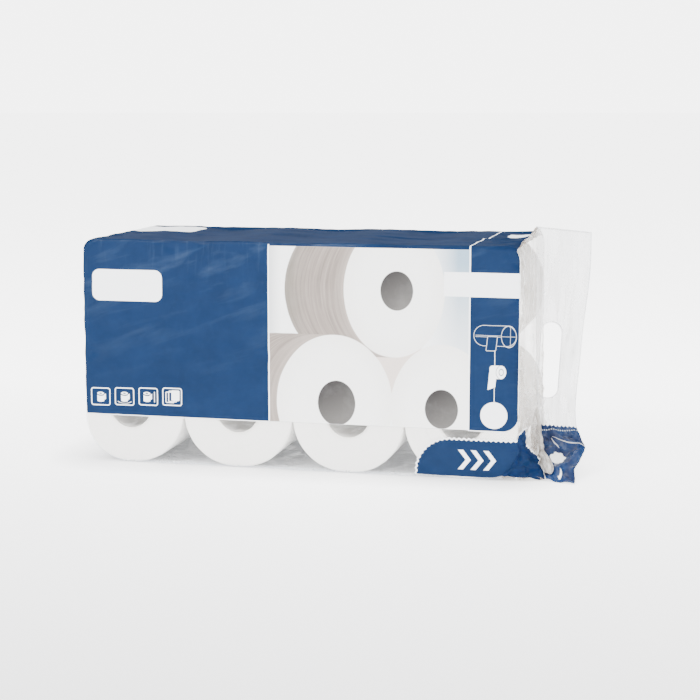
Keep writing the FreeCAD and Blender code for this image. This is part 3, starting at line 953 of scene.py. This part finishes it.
def flash_distance(shader, u, v):
    """Distance to the corner flash: a toothed edge that bends over, climbs to a peak and falls."""
    climb = (u - 222.0).math("MULTIPLY", 1 / 58.0, clamp=True) ** 1.5
    fall = (u - 280.0).math("MULTIPLY", 1 / 3.0, clamp=True) * 19.5
    fall = fall + ((u - 283.0).most(0.0) * 0.15).least(4.0) + (u - 310.0).most(0.0) * 1.05
    lowered = v - climb * 18.5 + fall
    dx = 161.0 - u
    dz = lowered - 6.5
    bend = (dx.most(0.0) ** 2.0 + dz.most(0.0) ** 2.0).root() - 34.0
    angle = dz.math("ARCTAN2", dx.most(0.001))
    run = angle * 34.0 + u.most(161.0)
    teeth = (run * (2 * math.pi / 5.0)).sine() * 0.65
    return bend.most(dx - 34.0) + teeth


def printed_film(colours, form, strip):
    """The bag's film: glossy, clear where it is bare and covered where it is printed."""
    shader = Shader("printed_film")
    uv, u, v = shader.plane()
    place, x, y, z = shader.space()
    girth_top = form.height + 2 * form.depth
    white, ink = tuple(colours.white), tuple(colours.blue)

    # blue ground: left panel, right column with a rounded corner, and all above the window
    panel = (u + 29.5).most(strip - v)
    corner = disc_distance(u, v, 214.0, strip + 16.0, 16.0)
    square = (u - 229.8).most(strip - v)
    rounded = (214.0 - u).most(v - strip - 16.0).over(0.0, 0.05)
    column = square.most(corner - rounded * 999.0).most(180.0 - u)
    band = (233.0 - v).most(u - 230.0)
    blue = panel.least(column).least(band)
    wrap = (form.height - v).most(u - form.length - 7.0)
    behind = (girth_top + 3.0 - v).most(180.0 - u)
    blue = blue.least(wrap).most(behind * -1.0)
    blue = blue.most(v - (girth_top + form.height - strip))
    flash = flash_distance(shader, u, v)
    flash = flash.most(u - form.length - 96.0)

    front = v.under(form.height - 1.0, 0.5)
    window = box_distance(u, v, -29.5, 180.6, strip, 233.0)
    in_window = window.under(0.0, 0.3)
    crumple = shader.noise(shader.vector(u * 0.55, v), 0.022, 2.5, 0.5, 0.35)
    # painted sheen: lighter streaks, mostly near the top of the front panel, stand in for soft
    # reflections; the same mask also raises the coat and the bump
    along, cross = u * 0.95 + v * 0.3, v * 0.95 - u * 0.3
    sheen_streaks = shader.noise(shader.vector(along * 0.010, cross * 0.055), 1.0, 4.0, 0.6, 0.5)
    upright = shader.noise(shader.vector(u * 0.22, v * 0.025), 1.0, 3.0, 0.6, 0.4)
    high = v.over(175.0, 85.0) * v.under(form.height + 4.0, 8.0)
    sheen = sheen_streaks.over(0.61, 0.09) * (high * 0.8 + 0.05)
    sheen = sheen + upright.over(0.62, 0.08) * high * v.over(205.0, 20.0) * u.under(0.0, 40.0) * 0.4
    wear = shader.noise(place, 38.0, 4.0, 0.62)
    tone = wear.over(0.6, 0.12)

    ground = shader.mix(wear.math("MULTIPLY_ADD", 1.2, -0.35, clamp=True), ink, linear(22, 43, 75))
    deep = shader.noise(shader.vector(u, v), 0.02, 2.0)
    ground = shader.mix(deep.over(0.62, 0.1) * 0.35, ground, linear(14, 31, 57))
    # painted sheen: the ink is lightened along the sheen streaks
    ground = shader.mix(sheen * 0.42, ground, linear(44, 68, 100))
    cover = blue.least(flash).under(0.0, 0.22)
    colour = shader.mix(in_window, white, printed_rolls(shader, u, v, tone))

    # white shapes on the front: plate, label, badge, pictograms and the joining line
    shapes = box_distance(u, v, -221.0, -144.0, 172.0, 205.0, 8.0)
    sides = abs(abs(u - 75.5) - 104.2) - 0.7
    shapes = shapes.least(sides.most(strip - v))
    label = box_distance(u, v, 153.5, 241.0, 186.0, 210.5)
    badge = disc_distance(u, v, 205.3, 67.0, 13.6)
    joint = box_distance(u, v, 205.2, 205.7, 78.0, 133.0)
    border = box_distance(u, v, 229.9, 237.0, strip + 16.0, form.height - 6.0)
    shapes = shapes.least(label).least(badge).least(joint).least(border)
    for k in range(4):
        left = -224.6 + 26.6 * k
        low = 60.4 + 0.9 * k
        frame_line = abs(box_distance(u, v, left, left + 20.5, low, low + 18.0, 2.2)) - 0.5
        shapes = shapes.least(frame_line)
        middle = left + 10.25 - (1.5 if k == 2 else 0.0)
        if k < 3:
            shapes = shapes.least(roll_symbol(u, v, middle, low + 8.6, 9.5))
    sweep = abs(disc_distance(u, v, -187.75, 66.5, 8.2, 0.42)) - 0.45
    shapes = shapes.least(sweep.most(v - 65.0))
    arrow = box_distance(u, v, -154.6, -153.8, 65.5, 76.5)
    shapes = shapes.least(arrow)
    for k in range(3):
        left = -141.5 + 3.0 * k
        leaf = box_distance(u, v, left, left + 9.0, 66.0 + k, 77.0 + k, 1.2)
        shapes = shapes.least(abs(leaf) - 0.45 if k < 2 else leaf)

    # a plain dispenser outline, and a roll with a hanging sheet under it
    barrel = abs(box_distance(u, v, 184.2, 227.0, 137.4, 158.0, 10.2)) - 0.13
    lid_disc = disc_distance(u, v, 219.4, 147.2, 7.5, 1.44)
    lid = abs(lid_disc) - 0.12
    ticks = (abs(u - 221.0) - 0.06).least(abs(v - 147.2) - 0.06).most(lid_disc)
    slot_line = (abs(abs(v - 147.2) - 0.7) - 0.08).most(abs(u - 199.0) - 13.0)
    tongue_box = box_distance(u - v * 0.12, v, 180.6, 190.4, 132.5, 147.0, 0.8)
    tongue = abs(tongue_box) - 0.15
    drawn = barrel.least(lid).least(ticks).least(slot_line)
    shapes = shapes.least(drawn.most(tongue_box * -1.0)).least(tongue)
    leaning = u - v * 0.09
    hanging = box_distance(leaning, v - u * 0.4, 190.2, 197.6, 13.4, 31.0, 0.8)
    wound = box_distance(u, v, 200.4, 212.0, 104.4, 117.6, 3.0)
    wound = wound.least(disc_distance(u, v, 211.9, 111.0, 5.0, 1.32))
    eye = abs(disc_distance(u, v, 212.1, 111.0, 2.2, 1.4)) - 0.3
    lip = (abs(disc_distance(u, v, 211.9, 111.0, 4.9, 1.34)) - 0.2).most(u - 210.0)
    shapes = shapes.least(hanging.least(wound).most(eye * -1.0).most(lip * -1.0))

    # three chevrons on the flash
    for k in range(3):
        tip = 206.0 - 13.0 * k
        arm = abs((u - tip) + abs(v - 20.5) * 0.8) - 2.6
        shapes = shapes.least(arm.most(abs(v - 20.5) - 10.0))

    # white lines that cross the top, and the plain plates on it
    half_way = form.height + form.depth
    shift = v.over(half_way, 0.4) * 3.6
    line = abs(u - 179.7 - shift) - 0.7
    line = line.most(form.height - 3.5 - v)
    line = line.most(v - girth_top + 3.0)
    plates = box_distance(u, v, -222.0, -152.0, form.height + 118.0, form.height + 186.0, 10.0)
    other = box_distance(u, v, 198.0, 222.0, form.height + 128.0, form.height + 164.0, 8.0)
    shapes = (shapes + (1 - front) * 99.0).least(line).least(plates).least(other)
    marked = shapes.under(0.0, 0.22)

    edge = (blue + 0.7).least(flash - 0.2).under(1.6, 0.22)
    printed = in_window.most(edge).most(marked)

    # bare film: a faint veil, with painted highlights as whiter folds and glints, and painted shade
    # as a beige tint and darker beige streaks down the gathered end
    veil = shader.noise(shader.vector(u * 0.25, v), 0.11, 4.0, 0.6, 0.4)
    # painted highlights: thin whiter lines along the film's folds
    folds = abs(veil - 0.5).under(0.010, 0.012)
    tent = u.over(form.length + 1.0, 3.0)
    # painted shade: darker beige streaks down the gathered end stand in for shade in its pleats
    drawn = shader.noise(shader.vector(u * 0.8, v * 0.07), 0.14, 4.0, 0.62, 0.3)
    streaks = drawn.math("MULTIPLY_ADD", 3.6, -1.45, clamp=True) * tent
    # painted highlights: sparse thin white glints down the gathered end
    glint = shader.noise(shader.vector(u * 0.5, v * 0.02), 0.30, 2.0).over(0.66, 0.03) * tent
    hem = v.under(1.8, 1.4) * (1 - tent)
    below = v.over(girth_top + form.height + 2.0, 2.0) * (1 - tent)
    haze = folds * 0.14 * (1 - tent) + 0.09 + tent * 0.25 + streaks * 0.36 + glint * 0.20
    haze = haze + hem * 0.4 + below * 0.16
    # painted shade: a darker beige band where the film turns round the end's edge
    fold = u.over(237.8, 0.6) * u.under(244.0, 9.0)
    haze = haze + fold * 0.25
    # painted shade: the gathered end is tinted beige for the shaded roll sides seen through it
    clear = shader.mix(tent, tuple(colours.film), linear(172, 160, 147))
    clear = shader.mix(fold * 0.5, clear, linear(138, 127, 115))
    clear = shader.mix(below, clear, linear(216, 223, 234))
    bare = shader.mix(streaks, clear, linear(112, 100, 88))
    bare = shader.mix(folds.most(glint), bare, linear(252, 252, 252))
    # painted shade: darker blue streaks in the crumpled print at the gathered end stand in for shade
    # in its creases; the same streaks also give the folds their bump
    pulled = shader.noise(shader.vector(u * 0.12, v * 1.1), 0.16, 3.0, 0.6, 0.4)
    neck = pulled.math("MULTIPLY_ADD", 3.0, -1.1, clamp=True) * u.over(form.length - 4.0, 12.0)
    ground = shader.mix(neck * 0.8, ground, linear(5, 24, 62))
    colour = shader.mix(cover, colour, ground)
    colour = shader.mix(marked, colour, white)
    colour = shader.mix(printed, bare, colour)
    alpha = printed.most(haze.least(1.0))
    overhead = v.over(form.height, 3.0) * v.under(girth_top, 3.0)
    gloss = sheen * 0.3 + tent * (1 - cover) * 0.4 + (1 - printed) * 0.4 + 0.08
    gloss = (gloss * (1 - overhead * 0.7)).least(1.0)
    relief = crumple * 0.7 + sheen * 0.25 + upright * high * 0.4 + neck * cover * 0.6 + glint * 0.3
    relief = relief * (1 - overhead * 0.6)
    return shader.surface(
        Base_Color=colour,
        Roughness=(wear * 0.25 + 0.30 + overhead * 0.3).least(1.0),
        Alpha=alpha,
        Normal=shader.bump(relief, 0.55, 0.0016),
        Specular_IOR_Level=0.0,
        Coat_Weight=gloss,
        Coat_Roughness=0.18,
    )


class PACK_OT_wrap_bag(bpy.types.Operator):
    """Wrap the rolls in the printed film, folded at one end and gathered at the other"""

    bl_idname = "rollpack.wrap_bag"
    bl_label = "Wrap the bag"

    def execute(self, context):
        sizes, colours = context.scene.roll_pack_sizes, context.scene.roll_pack_colours
        form = BagForm(sizes)
        points, uv = shaped_bag(form, sizes.cell / MM)
        piece = add_piece("film_wrap", [(points, uv, False, True)])
        film = printed_film(colours, form, sizes.clear_strip / MM)
        finish_piece(piece, film, ["film_bag", *INK_NODES])
        return {"FINISHED"}


# the carrying fin
HOLE_HALF_WIDTH = 10.5
HOLE_HALF_STRAIGHT = 29.5
HOLE_REACH = 17.5
HOLE_HEIGHT = 110.0
HOLE_LEAN = math.radians(3.0)


def fin_surface(form, u, v):
    """The fin between gather line and free edge, rippling more towards the free edge."""
    start, end = form.gather(v), form.free_edge(v)
    points = start + (end - start) * (u[..., None] * 1.01 - 0.01)
    wave = 1.2 * u * np.sin(2 * math.pi * (1.5 * v + 0.4 * u))
    fade = np.minimum(1.0, 4 * (1 - v)) ** 2
    points[..., 1] += wave * fade
    kink = 2.4 * np.exp(-np.abs(v - 0.77) / 0.03) - 3.6 * np.exp(-(((v - 0.91) / 0.05) ** 2))
    points[..., 0] += u**3 * kink
    return points


def hole_edge(form, angle):
    """The hand hole's edge as shares of the fin: rays in a stretched plane meet its outline."""
    stretch = 3.4
    way_x, way_z = np.cos(angle), stretch * np.sin(angle)
    reach = np.full_like(angle, 4.0)
    for _ in range(80):
        x, z = way_x * reach, way_z * reach
        along = x * math.sin(HOLE_LEAN) + z * math.cos(HOLE_LEAN)
        across = x * math.cos(HOLE_LEAN) - z * math.sin(HOLE_LEAN)
        beyond = np.maximum(np.abs(along) - HOLE_HALF_STRAIGHT, 0)
        reach -= (np.hypot(across, beyond) - HOLE_HALF_WIDTH) / stretch
    x = form.length + HOLE_REACH + way_x * reach
    z = HOLE_HEIGHT + way_z * reach
    v = np.full_like(x, 0.5)
    u = np.full_like(x, 0.3)
    for _ in range(12):
        start, end = form.gather(v), form.free_edge(v)
        u = (x - start[:, 0]) / (end[:, 0] - start[:, 0])
        level = start[:, 2] + u * (end[:, 2] - start[:, 2])
        v = np.clip(v + (level - z) / (1.5 * form.height), 0.05, 0.95)
    return np.stack([u, v], -1)


def fin_shares(form):
    """Shares on the fin as a grid round the hand hole: from its edge out to the fin's border."""
    tall, wide = 150, 34
    down, over = np.linspace(0, 1, tall), np.linspace(0, 1, wide)
    one_t, one_w = np.ones(tall), np.ones(wide)
    border = np.concatenate(
        [
            np.stack([0 * one_t, down], -1)[:-1],
            np.stack([over, one_w], -1)[:-1],
            np.stack([one_t, down[::-1]], -1)[:-1],
            np.stack([over[::-1], 0 * one_w], -1)[:-1],
        ]
    )
    flat = fin_surface(form, border[:, 0], border[:, 1])
    run_z = form.height * (1.05 - 1.2 * border[:, 1])
    angle = np.arctan2((run_z - HOLE_HEIGHT) / 3.4, flat[:, 0] - form.length - HOLE_REACH)
    corners = np.unwrap(angle)
    inside = hole_edge(form, corners)
    out = np.linspace(0, 1, 40) ** 1.1
    return inside[None] + (border - inside)[None] * out[:, None, None]


def crumpled_fin(form, thickness):
    """The two faces of the fin as one closed grid, crumpled where the tail curls forward."""
    shares = fin_shares(form)
    u, v = shares[..., 0], shares[..., 1]
    points = fin_surface(form, u, v)
    flat = np.stack([u * form.fin, v * form.height * 1.25], -1)
    normals = grid_normals(points)
    tail = ease(v, 0.56, 0.72)
    root = 1 - ease(u, 0.0, 0.10)
    push = 0.5 * ripple(flat / (1.0, 3.0), 16.0, 31) * (1 - tail) * ease(u, 0, 0.3)
    push = push + 0.35 * creases(flat, 60.0, 32, 0.12) * (1 - tail)
    push = push + 1.6 * np.exp(-(((u - 0.13) / 0.035) ** 2)) * (1 - tail) * ease(v, 0.02, 0.1)
    push = push + tail * (1 - 0.8 * root) * (
        1.0 * ripple(flat, 30.0, 33)
        + 0.9 * creases(flat / (1.5, 1.0), 40.0, 34, 0.22)
        + 0.5 * creases(flat, 18.0, 35, 0.2)
        - 0.6
    )
    for u0, v0, u1, v1, wide, tall in (
        (0.30, 0.687, 1.0, 0.764, 0.028, 2.2),
        (0.27, 0.690, 0.41, 0.757, 0.026, 1.5),
        (0.25, 0.80, 0.95, 0.86, 0.05, -2.4),
        (0.30, 0.90, 0.95, 0.83, 0.05, 1.6),
    ):
        way = np.array([u1 - u0, v1 - v0])
        t = ((u - u0) * way[0] + (v - v0) * way[1]) / (way @ way)
        off = np.abs((u - u0) * way[1] - (v - v0) * way[0]) / np.linalg.norm(way)
        fade = ease(t, -0.1, 0.15) * (1 - ease(t, 0.9, 1.1))
        push = push + tall * np.exp(-((off / wide) ** 2)) * fade
    push = push * (1 - root)
    points = points + normals * push[..., None]
    normals = grid_normals(points)
    half = thickness / 2
    front, back = points + normals * half, points - normals * half
    for face in (front, back):
        face[..., 2] = np.maximum(face[..., 2], 0.3)
        face[..., 1] = np.maximum(face[..., 1], -form.depth - 1.0)
    closed = np.concatenate([front, back[::-1]])
    flat_uv = np.concatenate([flat, flat[::-1]])
    flat_uv = np.concatenate([flat_uv, flat_uv[:1]])
    flat_uv = np.concatenate([flat_uv, flat_uv[:, :1]], axis=1)
    return closed, flat_uv * MM


def fin_film(colours, form):
    """The fin's film: a milky double layer, with the printed blue tail below a toothed edge."""
    shader = Shader("fin_film")
    uv, u, v = shader.plane()
    place, x, y, z = shader.space()
    long = form.height * 1.25
    wear = shader.noise(place, 60.0, 4.0, 0.6)
    tooth = (u * (2 * math.pi / 6.0)).sine() * 1.3
    start = 0.618 * long
    edge = (start - v) + tooth
    wavy = shader.noise(shader.vector(0.0, v), 0.09, 3.0) * 6.0
    left = wavy - 1.0 - u
    blue = edge.most(left)
    printed = blue.under(0.0, 0.25)
    rim = abs(edge - tooth + 7.4) - 0.9
    dashes = (u * (2 * math.pi / 3.4)).sine().over(-0.1, 0.3)
    pale = rim.under(0.0, 0.3) * dashes * printed * 0.75
    at_u, at_v = 0.40 * form.fin, 0.830 * long
    lobes = ((v - at_v) / 1.4).math("ARCTAN2", u - at_u)
    patch = disc_distance(u, v, at_u, at_v, 10.6, 1.2) + (lobes * 7.0).sine() * 1.1
    patch = patch.most((v - at_v - 5.0) * 0.8 - (u - at_u) * 0.5 - 4.0)
    hook = disc_distance(u, v, 0.50 * form.fin, 0.946 * long, 4.2, 2.4)
    hook = hook.most(disc_distance(u, v, 0.45 * form.fin, 0.930 * long, 4.0, 2.3) * -1.0)
    spots = patch.least(hook).under(0.0, 0.3) * v.over(start + 4.0, 0.5)
    # painted highlights: two thin white lines along the crests of the tail's V fold stand in for the
    # light caught on them
    crest_highlights = []
    for u0, v0, u1, v1 in ((0.30, 0.687, 1.0, 0.764), (0.27, 0.690, 0.41, 0.757)):
        way = np.array([(u1 - u0) * form.fin, (v1 - v0) * long])
        way /= np.hypot(*way)
        run = (u - u0 * form.fin) * way[0] + (v - v0 * long) * way[1]
        off = (u - u0 * form.fin) * way[1] - (v - v0 * long) * way[0]
        reach = math.hypot((u1 - u0) * form.fin, (v1 - v0) * long)
        thick = (run * (2.2 / reach)).sine() * 0.55
        bowed = abs(off + (run * (math.pi / reach)).sine() * 1.2) - thick
        crest_highlights.append(bowed.most(run * -1.0).most(run - reach))
    crest_highlight = crest_highlights[0].least(crest_highlights[1]).under(0.0, 0.5)
    deep = shader.mix(wear.over(0.52, 0.12), linear(7, 28, 66), linear(15, 46, 88))
    ground = shader.mix(pale, deep, linear(206, 214, 222))
    # white print patches, and the painted crest highlights
    ground = shader.mix(spots.most(crest_highlight * 0.85), ground, tuple(colours.white))
    cloud = shader.noise(shader.vector(u, v * 0.3), 0.05, 3.0, 0.55, 0.5)
    fold = shader.noise(shader.vector(u * 1.0, v * 0.10), 0.11, 3.0, 0.55, 0.4)
    # painted highlights: thin whiter lines along the folds of the milky film
    streak = abs(fold - 0.5).under(0.012, 0.02)
    dx = x - (form.length + HOLE_REACH)
    dz = z - HOLE_HEIGHT
    lean_x = dx * math.cos(HOLE_LEAN) - dz * math.sin(HOLE_LEAN)
    lean_z = (abs(dz * math.cos(HOLE_LEAN)) - HOLE_HALF_STRAIGHT).most(0.0)
    hole = (lean_x * lean_x + lean_z * lean_z).root() - HOLE_HALF_WIDTH
    rims = hole.under(0.7, 0.5).most(u.over(form.fin - 0.9, 0.6)).most(v.under(1.3, 0.8))
    milky = shader.mix(streak, linear(236, 237, 239), linear(254, 254, 254))
    milky = shader.mix(rims * 0.6, milky, linear(212, 215, 219))
    printed = printed.most(spots)
    base = shader.mix(printed, milky, ground)
    haze = cloud.math("MULTIPLY_ADD", 0.5, 0.06, clamp=True) + streak * 0.22 + rims * 0.35
    relief = cloud * 1.0 + fold * 0.9 + shader.noise(place, 160.0, 2.0) * 0.05
    return shader.surface(
        Base_Color=base,
        Roughness=wear.math("MULTIPLY_ADD", 0.25, 0.12, clamp=True),
        Alpha=printed.most(haze.least(1.0)),
        Normal=shader.bump(relief, 0.5, 0.0016),
        Specular_IOR_Level=0.25,
    )


class PACK_OT_weld_fin(bpy.types.Operator):
    """Make the welded carrying fin with its hand hole and crumpled tail"""

    bl_idname = "rollpack.weld_fin"
    bl_label = "Weld the fin"

    def execute(self, context):
        sizes, colours = context.scene.roll_pack_sizes, context.scene.roll_pack_colours
        form = BagForm(sizes)
        points, uv = crumpled_fin(form, sizes.fin_thickness / MM)
        piece = add_piece("carry_fin", [(points, uv, True, True)])
        finish_piece(piece, fin_film(colours, form), ["film_bag"])
        return {"FINISHED"}


# the twisted neck between the gathered end and the tail
def ripple_free(line):
    """A line of numbers smoothed by a running mean of nine, its ends held."""
    padded = np.concatenate([np.full(4, line[0]), line, np.full(4, line[-1])])
    return np.convolve(padded, np.ones(9) / 9, mode="valid")


def twisted_neck(form):
    """The film rolled together below the hand hole: a tube of folds with a knot and a loose end.

    Its path goes down the gather line to the knot and from there out over the tail, lifted off
    the film by its own radius. Five large folds and many small ones run along it in a slow
    twist, and it closes to a point at both ends.
    """
    share = np.linspace(0.0, 1.0, 130)
    swell = np.interp(
        share, (0, 0.2, 0.36, 0.48, 0.56, 0.68, 0.85, 1.0), (2.0, 5.0, 6.2, 5.4, 3.6, 4.6, 5.2, 4.6)
    )
    ends = np.sqrt(ease(share, -0.01, 0.08) * (1 - ease(share, 0.93, 1.001)))
    radius = swell * ends
    v = np.interp(share, (0.0, 0.5, 1.0), (0.53, 0.76, 0.955))
    u = np.interp(share, (0.0, 0.3, 0.5, 1.0), (0.0, -0.08, -0.05, 0.24))
    path = fin_surface(form, u, v)
    path = np.stack([ripple_free(path[:, k]) for k in range(3)], -1)
    path[:, 1] -= 0.8 * radius
    path[:, 2] = np.maximum(path[:, 2] + 0.5 * radius * ease(share, 0.4, 0.7), radius * 1.1 + 0.4)
    way = np.gradient(path, axis=0)
    way /= np.linalg.norm(way, axis=1)[:, None]
    first = np.cross(way, (1.0, 0.0, 0.0))
    first /= np.linalg.norm(first, axis=1)[:, None]
    second = np.cross(way, first)
    angle = np.linspace(0, 2 * math.pi, 72, endpoint=False)
    turn = angle[None, :] + 2.6 * share[:, None]
    folds = 0.13 * np.cos(5 * turn + 1.2 * np.sin(9 * share)[:, None])
    ring = np.stack([np.cos(turn), np.sin(turn), share[:, None] * 9 + 0 * turn], -1)
    folds = folds + 0.05 * ripple(ring, 0.7, 51) + 0.10 * creases(ring, 1.6, 52, 0.25)
    reach = radius[:, None] * (0.92 + folds)
    points = path[:, None] + reach[..., None] * (
        np.cos(angle)[None, :, None] * first[:, None]
        + np.sin(angle)[None, :, None] * second[:, None]
    )
    points[..., 2] = np.maximum(points[..., 2], 0.3)
    points[..., 1] = np.maximum(points[..., 1], -form.depth - 0.5)
    around = np.linspace(0, 30.0, 73)
    uv = np.stack(np.meshgrid(around, share * 120.0, indexing="xy"), -1)
    return points, uv * MM


class PACK_OT_twist_neck(bpy.types.Operator):
    """Roll the clear film together where the gathered end runs down into the tail"""

    bl_idname = "rollpack.twist_neck"
    bl_label = "Twist the neck"

    def execute(self, context):
        sizes, colours = context.scene.roll_pack_sizes, context.scene.roll_pack_colours
        form = BagForm(sizes)
        points, uv = twisted_neck(form)
        piece = add_piece("neck_folds", [(points, uv, False, True)])
        shader = Shader("neck_film")
        uv, around, along = shader.plane()
        # painted shade and highlights: darker beige streaks stand in for shade in the twisted folds,
        # and thin white lines for glints on them
        streak = shader.noise(shader.vector(around * 0.9, along * 0.12), 0.4, 4.0, 0.65, 0.3)
        fold_shade = streak.math("MULTIPLY_ADD", 3.4, -1.3, clamp=True)
        base = shader.mix(fold_shade, linear(226, 221, 215), linear(128, 119, 110))
        glint = abs(streak - 0.44).under(0.010, 0.012)
        base = shader.mix(glint, base, linear(252, 252, 252))
        film = shader.surface(
            Base_Color=base,
            Roughness=streak.math("MULTIPLY_ADD", 0.5, 0.05, clamp=True),
            Alpha=(fold_shade * 0.30 + glint * 0.30 + 0.52).least(1.0),
            Normal=shader.bump(streak, 0.8, 0.0012),
            Specular_IOR_Level=0.5,
        )
        finish_piece(piece, film, ["film_bag"])
        return {"FINISHED"}


# the welded seam of the folded end
class PACK_OT_weld_end_seam(bpy.types.Operator):
    """Lay the crimped seam strip down the folded end"""

    bl_idname = "rollpack.weld_end_seam"
    bl_label = "Weld the end seam"

    def execute(self, context):
        sizes, colours = context.scene.roll_pack_sizes, context.scene.roll_pack_colours
        form = BagForm(sizes)
        low, high = BOTTOM_LEFT_RADIUS + 6, form.height - TOP_LEFT_RADIUS - 6
        z = np.linspace(low, high, 260)
        y = np.linspace(0.3, 14.0, 12)
        yy, zz = np.meshgrid(y, z, indexing="ij")
        crimp = 0.16 * np.sin(2 * math.pi * zz / 2.2) * ease(yy, 2.0, 4.0)
        lift = 0.12 + 0.35 * ease(yy, 4.0, 14.0) * (0.6 + 0.4 * np.sin(zz / 19.0))
        outer = np.stack([-form.length - 0.25 - lift - crimp, yy, zz], -1)
        inner = outer + (0.3, 0.0, 0.0)
        closed = np.concatenate([outer, inner[::-1]])
        shares = np.stack([np.full_like(yy, -form.length), zz], -1)
        uv = np.concatenate([shares, shares[::-1]])
        uv = np.concatenate([uv, uv[:1]]) * MM
        ends = []
        for k in (0, -1):
            strip = np.stack([outer[:, k], inner[:, k]])
            ends.append((strip, np.full((2, len(y), 2), 0.1), False, False))
        piece = add_piece("end_seam", [(closed, uv, True, False), *ends])
        shader = Shader("seam_film")
        place, x, yv, zv = shader.space()
        clear = zv.under(sizes.clear_strip / MM + 6.0, 0.4)
        wear = shader.noise(place, 120.0, 3.0)
        base = shader.mix(wear, tuple(colours.blue), linear(18, 48, 88))
        base = shader.mix(clear, base, tuple(colours.film))
        ribs = (zv * (2 * math.pi / 2.2)).sine()
        film = shader.surface(
            Base_Color=base,
            Roughness=wear.math("MULTIPLY_ADD", 0.2, 0.25, clamp=True),
            Alpha=1.0 - clear * 0.7,
            Normal=shader.bump(ribs, 0.3, 0.0003),
            Specular_IOR_Level=0.12,
        )
        finish_piece(piece, film, ["film_bag"])
        return {"FINISHED"}


# stage
class PACK_OT_set_stage(bpy.types.Operator):
    """Lay the pale floor, and set the soft lights and the camera"""

    bl_idname = "rollpack.set_stage"
    bl_label = "Set the stage"

    def execute(self, context):
        scene = context.scene
        xx, yy = np.meshgrid(np.linspace(-30, 30, 61), np.linspace(-30, 60, 91), indexing="ij")
        points = np.stack([xx, yy, 0 * xx], -1) / MM
        uv = np.stack([xx, yy], -1)
        floor = add_piece("floor", [(points, uv, False, False)], merge=False)
        shader = Shader("pale_floor")
        place, across, away, _ = shader.space()
        grain = shader.noise(place, 3.0, 2.0)
        base = shader.mix(grain, linear(232, 232, 233), linear(228, 228, 229))
        near = box_distance(across, away, -232.0, 232.0, -100.0, 100.0, 30.0)
        lit = away.over(-350.0, 700.0) * near.over(16.0, 40.0)
        lit = lit.most(near.over(1300.0, 900.0) * 0.8)
        glow = shader.mix(lit, (0.0, 0.0, 0.0), (1.0, 1.0, 1.0))
        floor.data.materials.append(
            shader.surface(
                Base_Color=base, Roughness=0.9, Emission_Color=glow, Emission_Strength=4.4
            )
        )
        sky = Shader("soft_white", "worlds")
        _, _, _, rise = sky.space()
        band = (rise * MM).under(0.20, 0.10)
        light = sky.mix(band, (0.11, 0.11, 0.11), (1.0, 1.0, 1.0))
        glow = sky.node("ShaderNodeBackground", inputs=[light, 5.6])
        sky.node("ShaderNodeOutputWorld", inputs=[glow.outputs[0]])
        scene.world = sky.material
        for name, place, aim, size, power in (
            ("key", (-1.2, -2.2, 2.0), (0.0, 0.0, 0.1), 1.4, 130.0),
            ("fill", (2.0, -1.2, 1.2), (0.1, 0.0, 0.1), 1.4, 40.0),
            ("top", (0.0, -0.2, 2.4), (0.0, 0.0, 0.0), 1.8, 66.0),
        ):
            light = bpy.data.lights.new(name, "AREA")
            light.shape = "SQUARE"
            light.size = size
            light.energy = power
            lamp = bpy.data.objects.new(name, light)
            lamp.location = place
            way = np.array(aim) - np.array(place)
            yaw = math.atan2(-way[0], way[1])
            pitch = math.atan2(way[2], math.hypot(way[0], way[1]))
            lamp.rotation_euler = (math.pi / 2 + pitch, 0.0, yaw)
            scene.collection.objects.link(lamp)
        camera = bpy.data.cameras.new("camera")
        camera.sensor_width = 36.0
        camera.lens = 1651.0 / 700.0 * 36.0
        camera.clip_end = 60.0
        view = bpy.data.objects.new("camera", camera)
        view.location = (0.44022, -1.71617, 0.37754)
        view.rotation_euler = (math.pi / 2 - 0.148835, 0.0, 0.232676)
        scene.collection.objects.link(view)
        scene.camera = view
        return {"FINISHED"}


class PACK_PT_sidebar(bpy.types.Panel):
    """Sidebar page with the pack's sizes, colours and build steps"""

    bl_idname = "PACK_PT_sidebar"
    bl_label = "Roll Pack"
    bl_space_type = "VIEW_3D"
    bl_region_type = "UI"
    bl_category = "Roll Pack"

    def draw(self, context):
        layout = self.layout
        for group in (context.scene.roll_pack_sizes, context.scene.roll_pack_colours):
            for name in group.bl_rna.properties.keys():
                if name not in ("rna_type", "name"):
                    layout.prop(group, name)
        for step in STEPS:
            layout.operator(step.bl_idname)


STEPS = (
    PACK_OT_set_stage,
    PACK_OT_wind_rolls,
    PACK_OT_wrap_bag,
    PACK_OT_weld_fin,
    PACK_OT_twist_neck,
    PACK_OT_weld_end_seam,
)
CLASSES = (PackSizes, PackColours, *STEPS, PACK_PT_sidebar)


def register():
    for item in CLASSES:
        bpy.utils.register_class(item)
    bpy.types.Scene.roll_pack_sizes = bpy.props.PointerProperty(type=PackSizes)
    bpy.types.Scene.roll_pack_colours = bpy.props.PointerProperty(type=PackColours)


def unregister():
    del bpy.types.Scene.roll_pack_colours
    del bpy.types.Scene.roll_pack_sizes
    for item in reversed(CLASSES):
        bpy.utils.unregister_class(item)


def main():
    register()
    for step in STEPS:
        group, name = step.bl_idname.split(".")
        getattr(getattr(bpy.ops, group), name)()


if __name__ == "__main__":
    main()
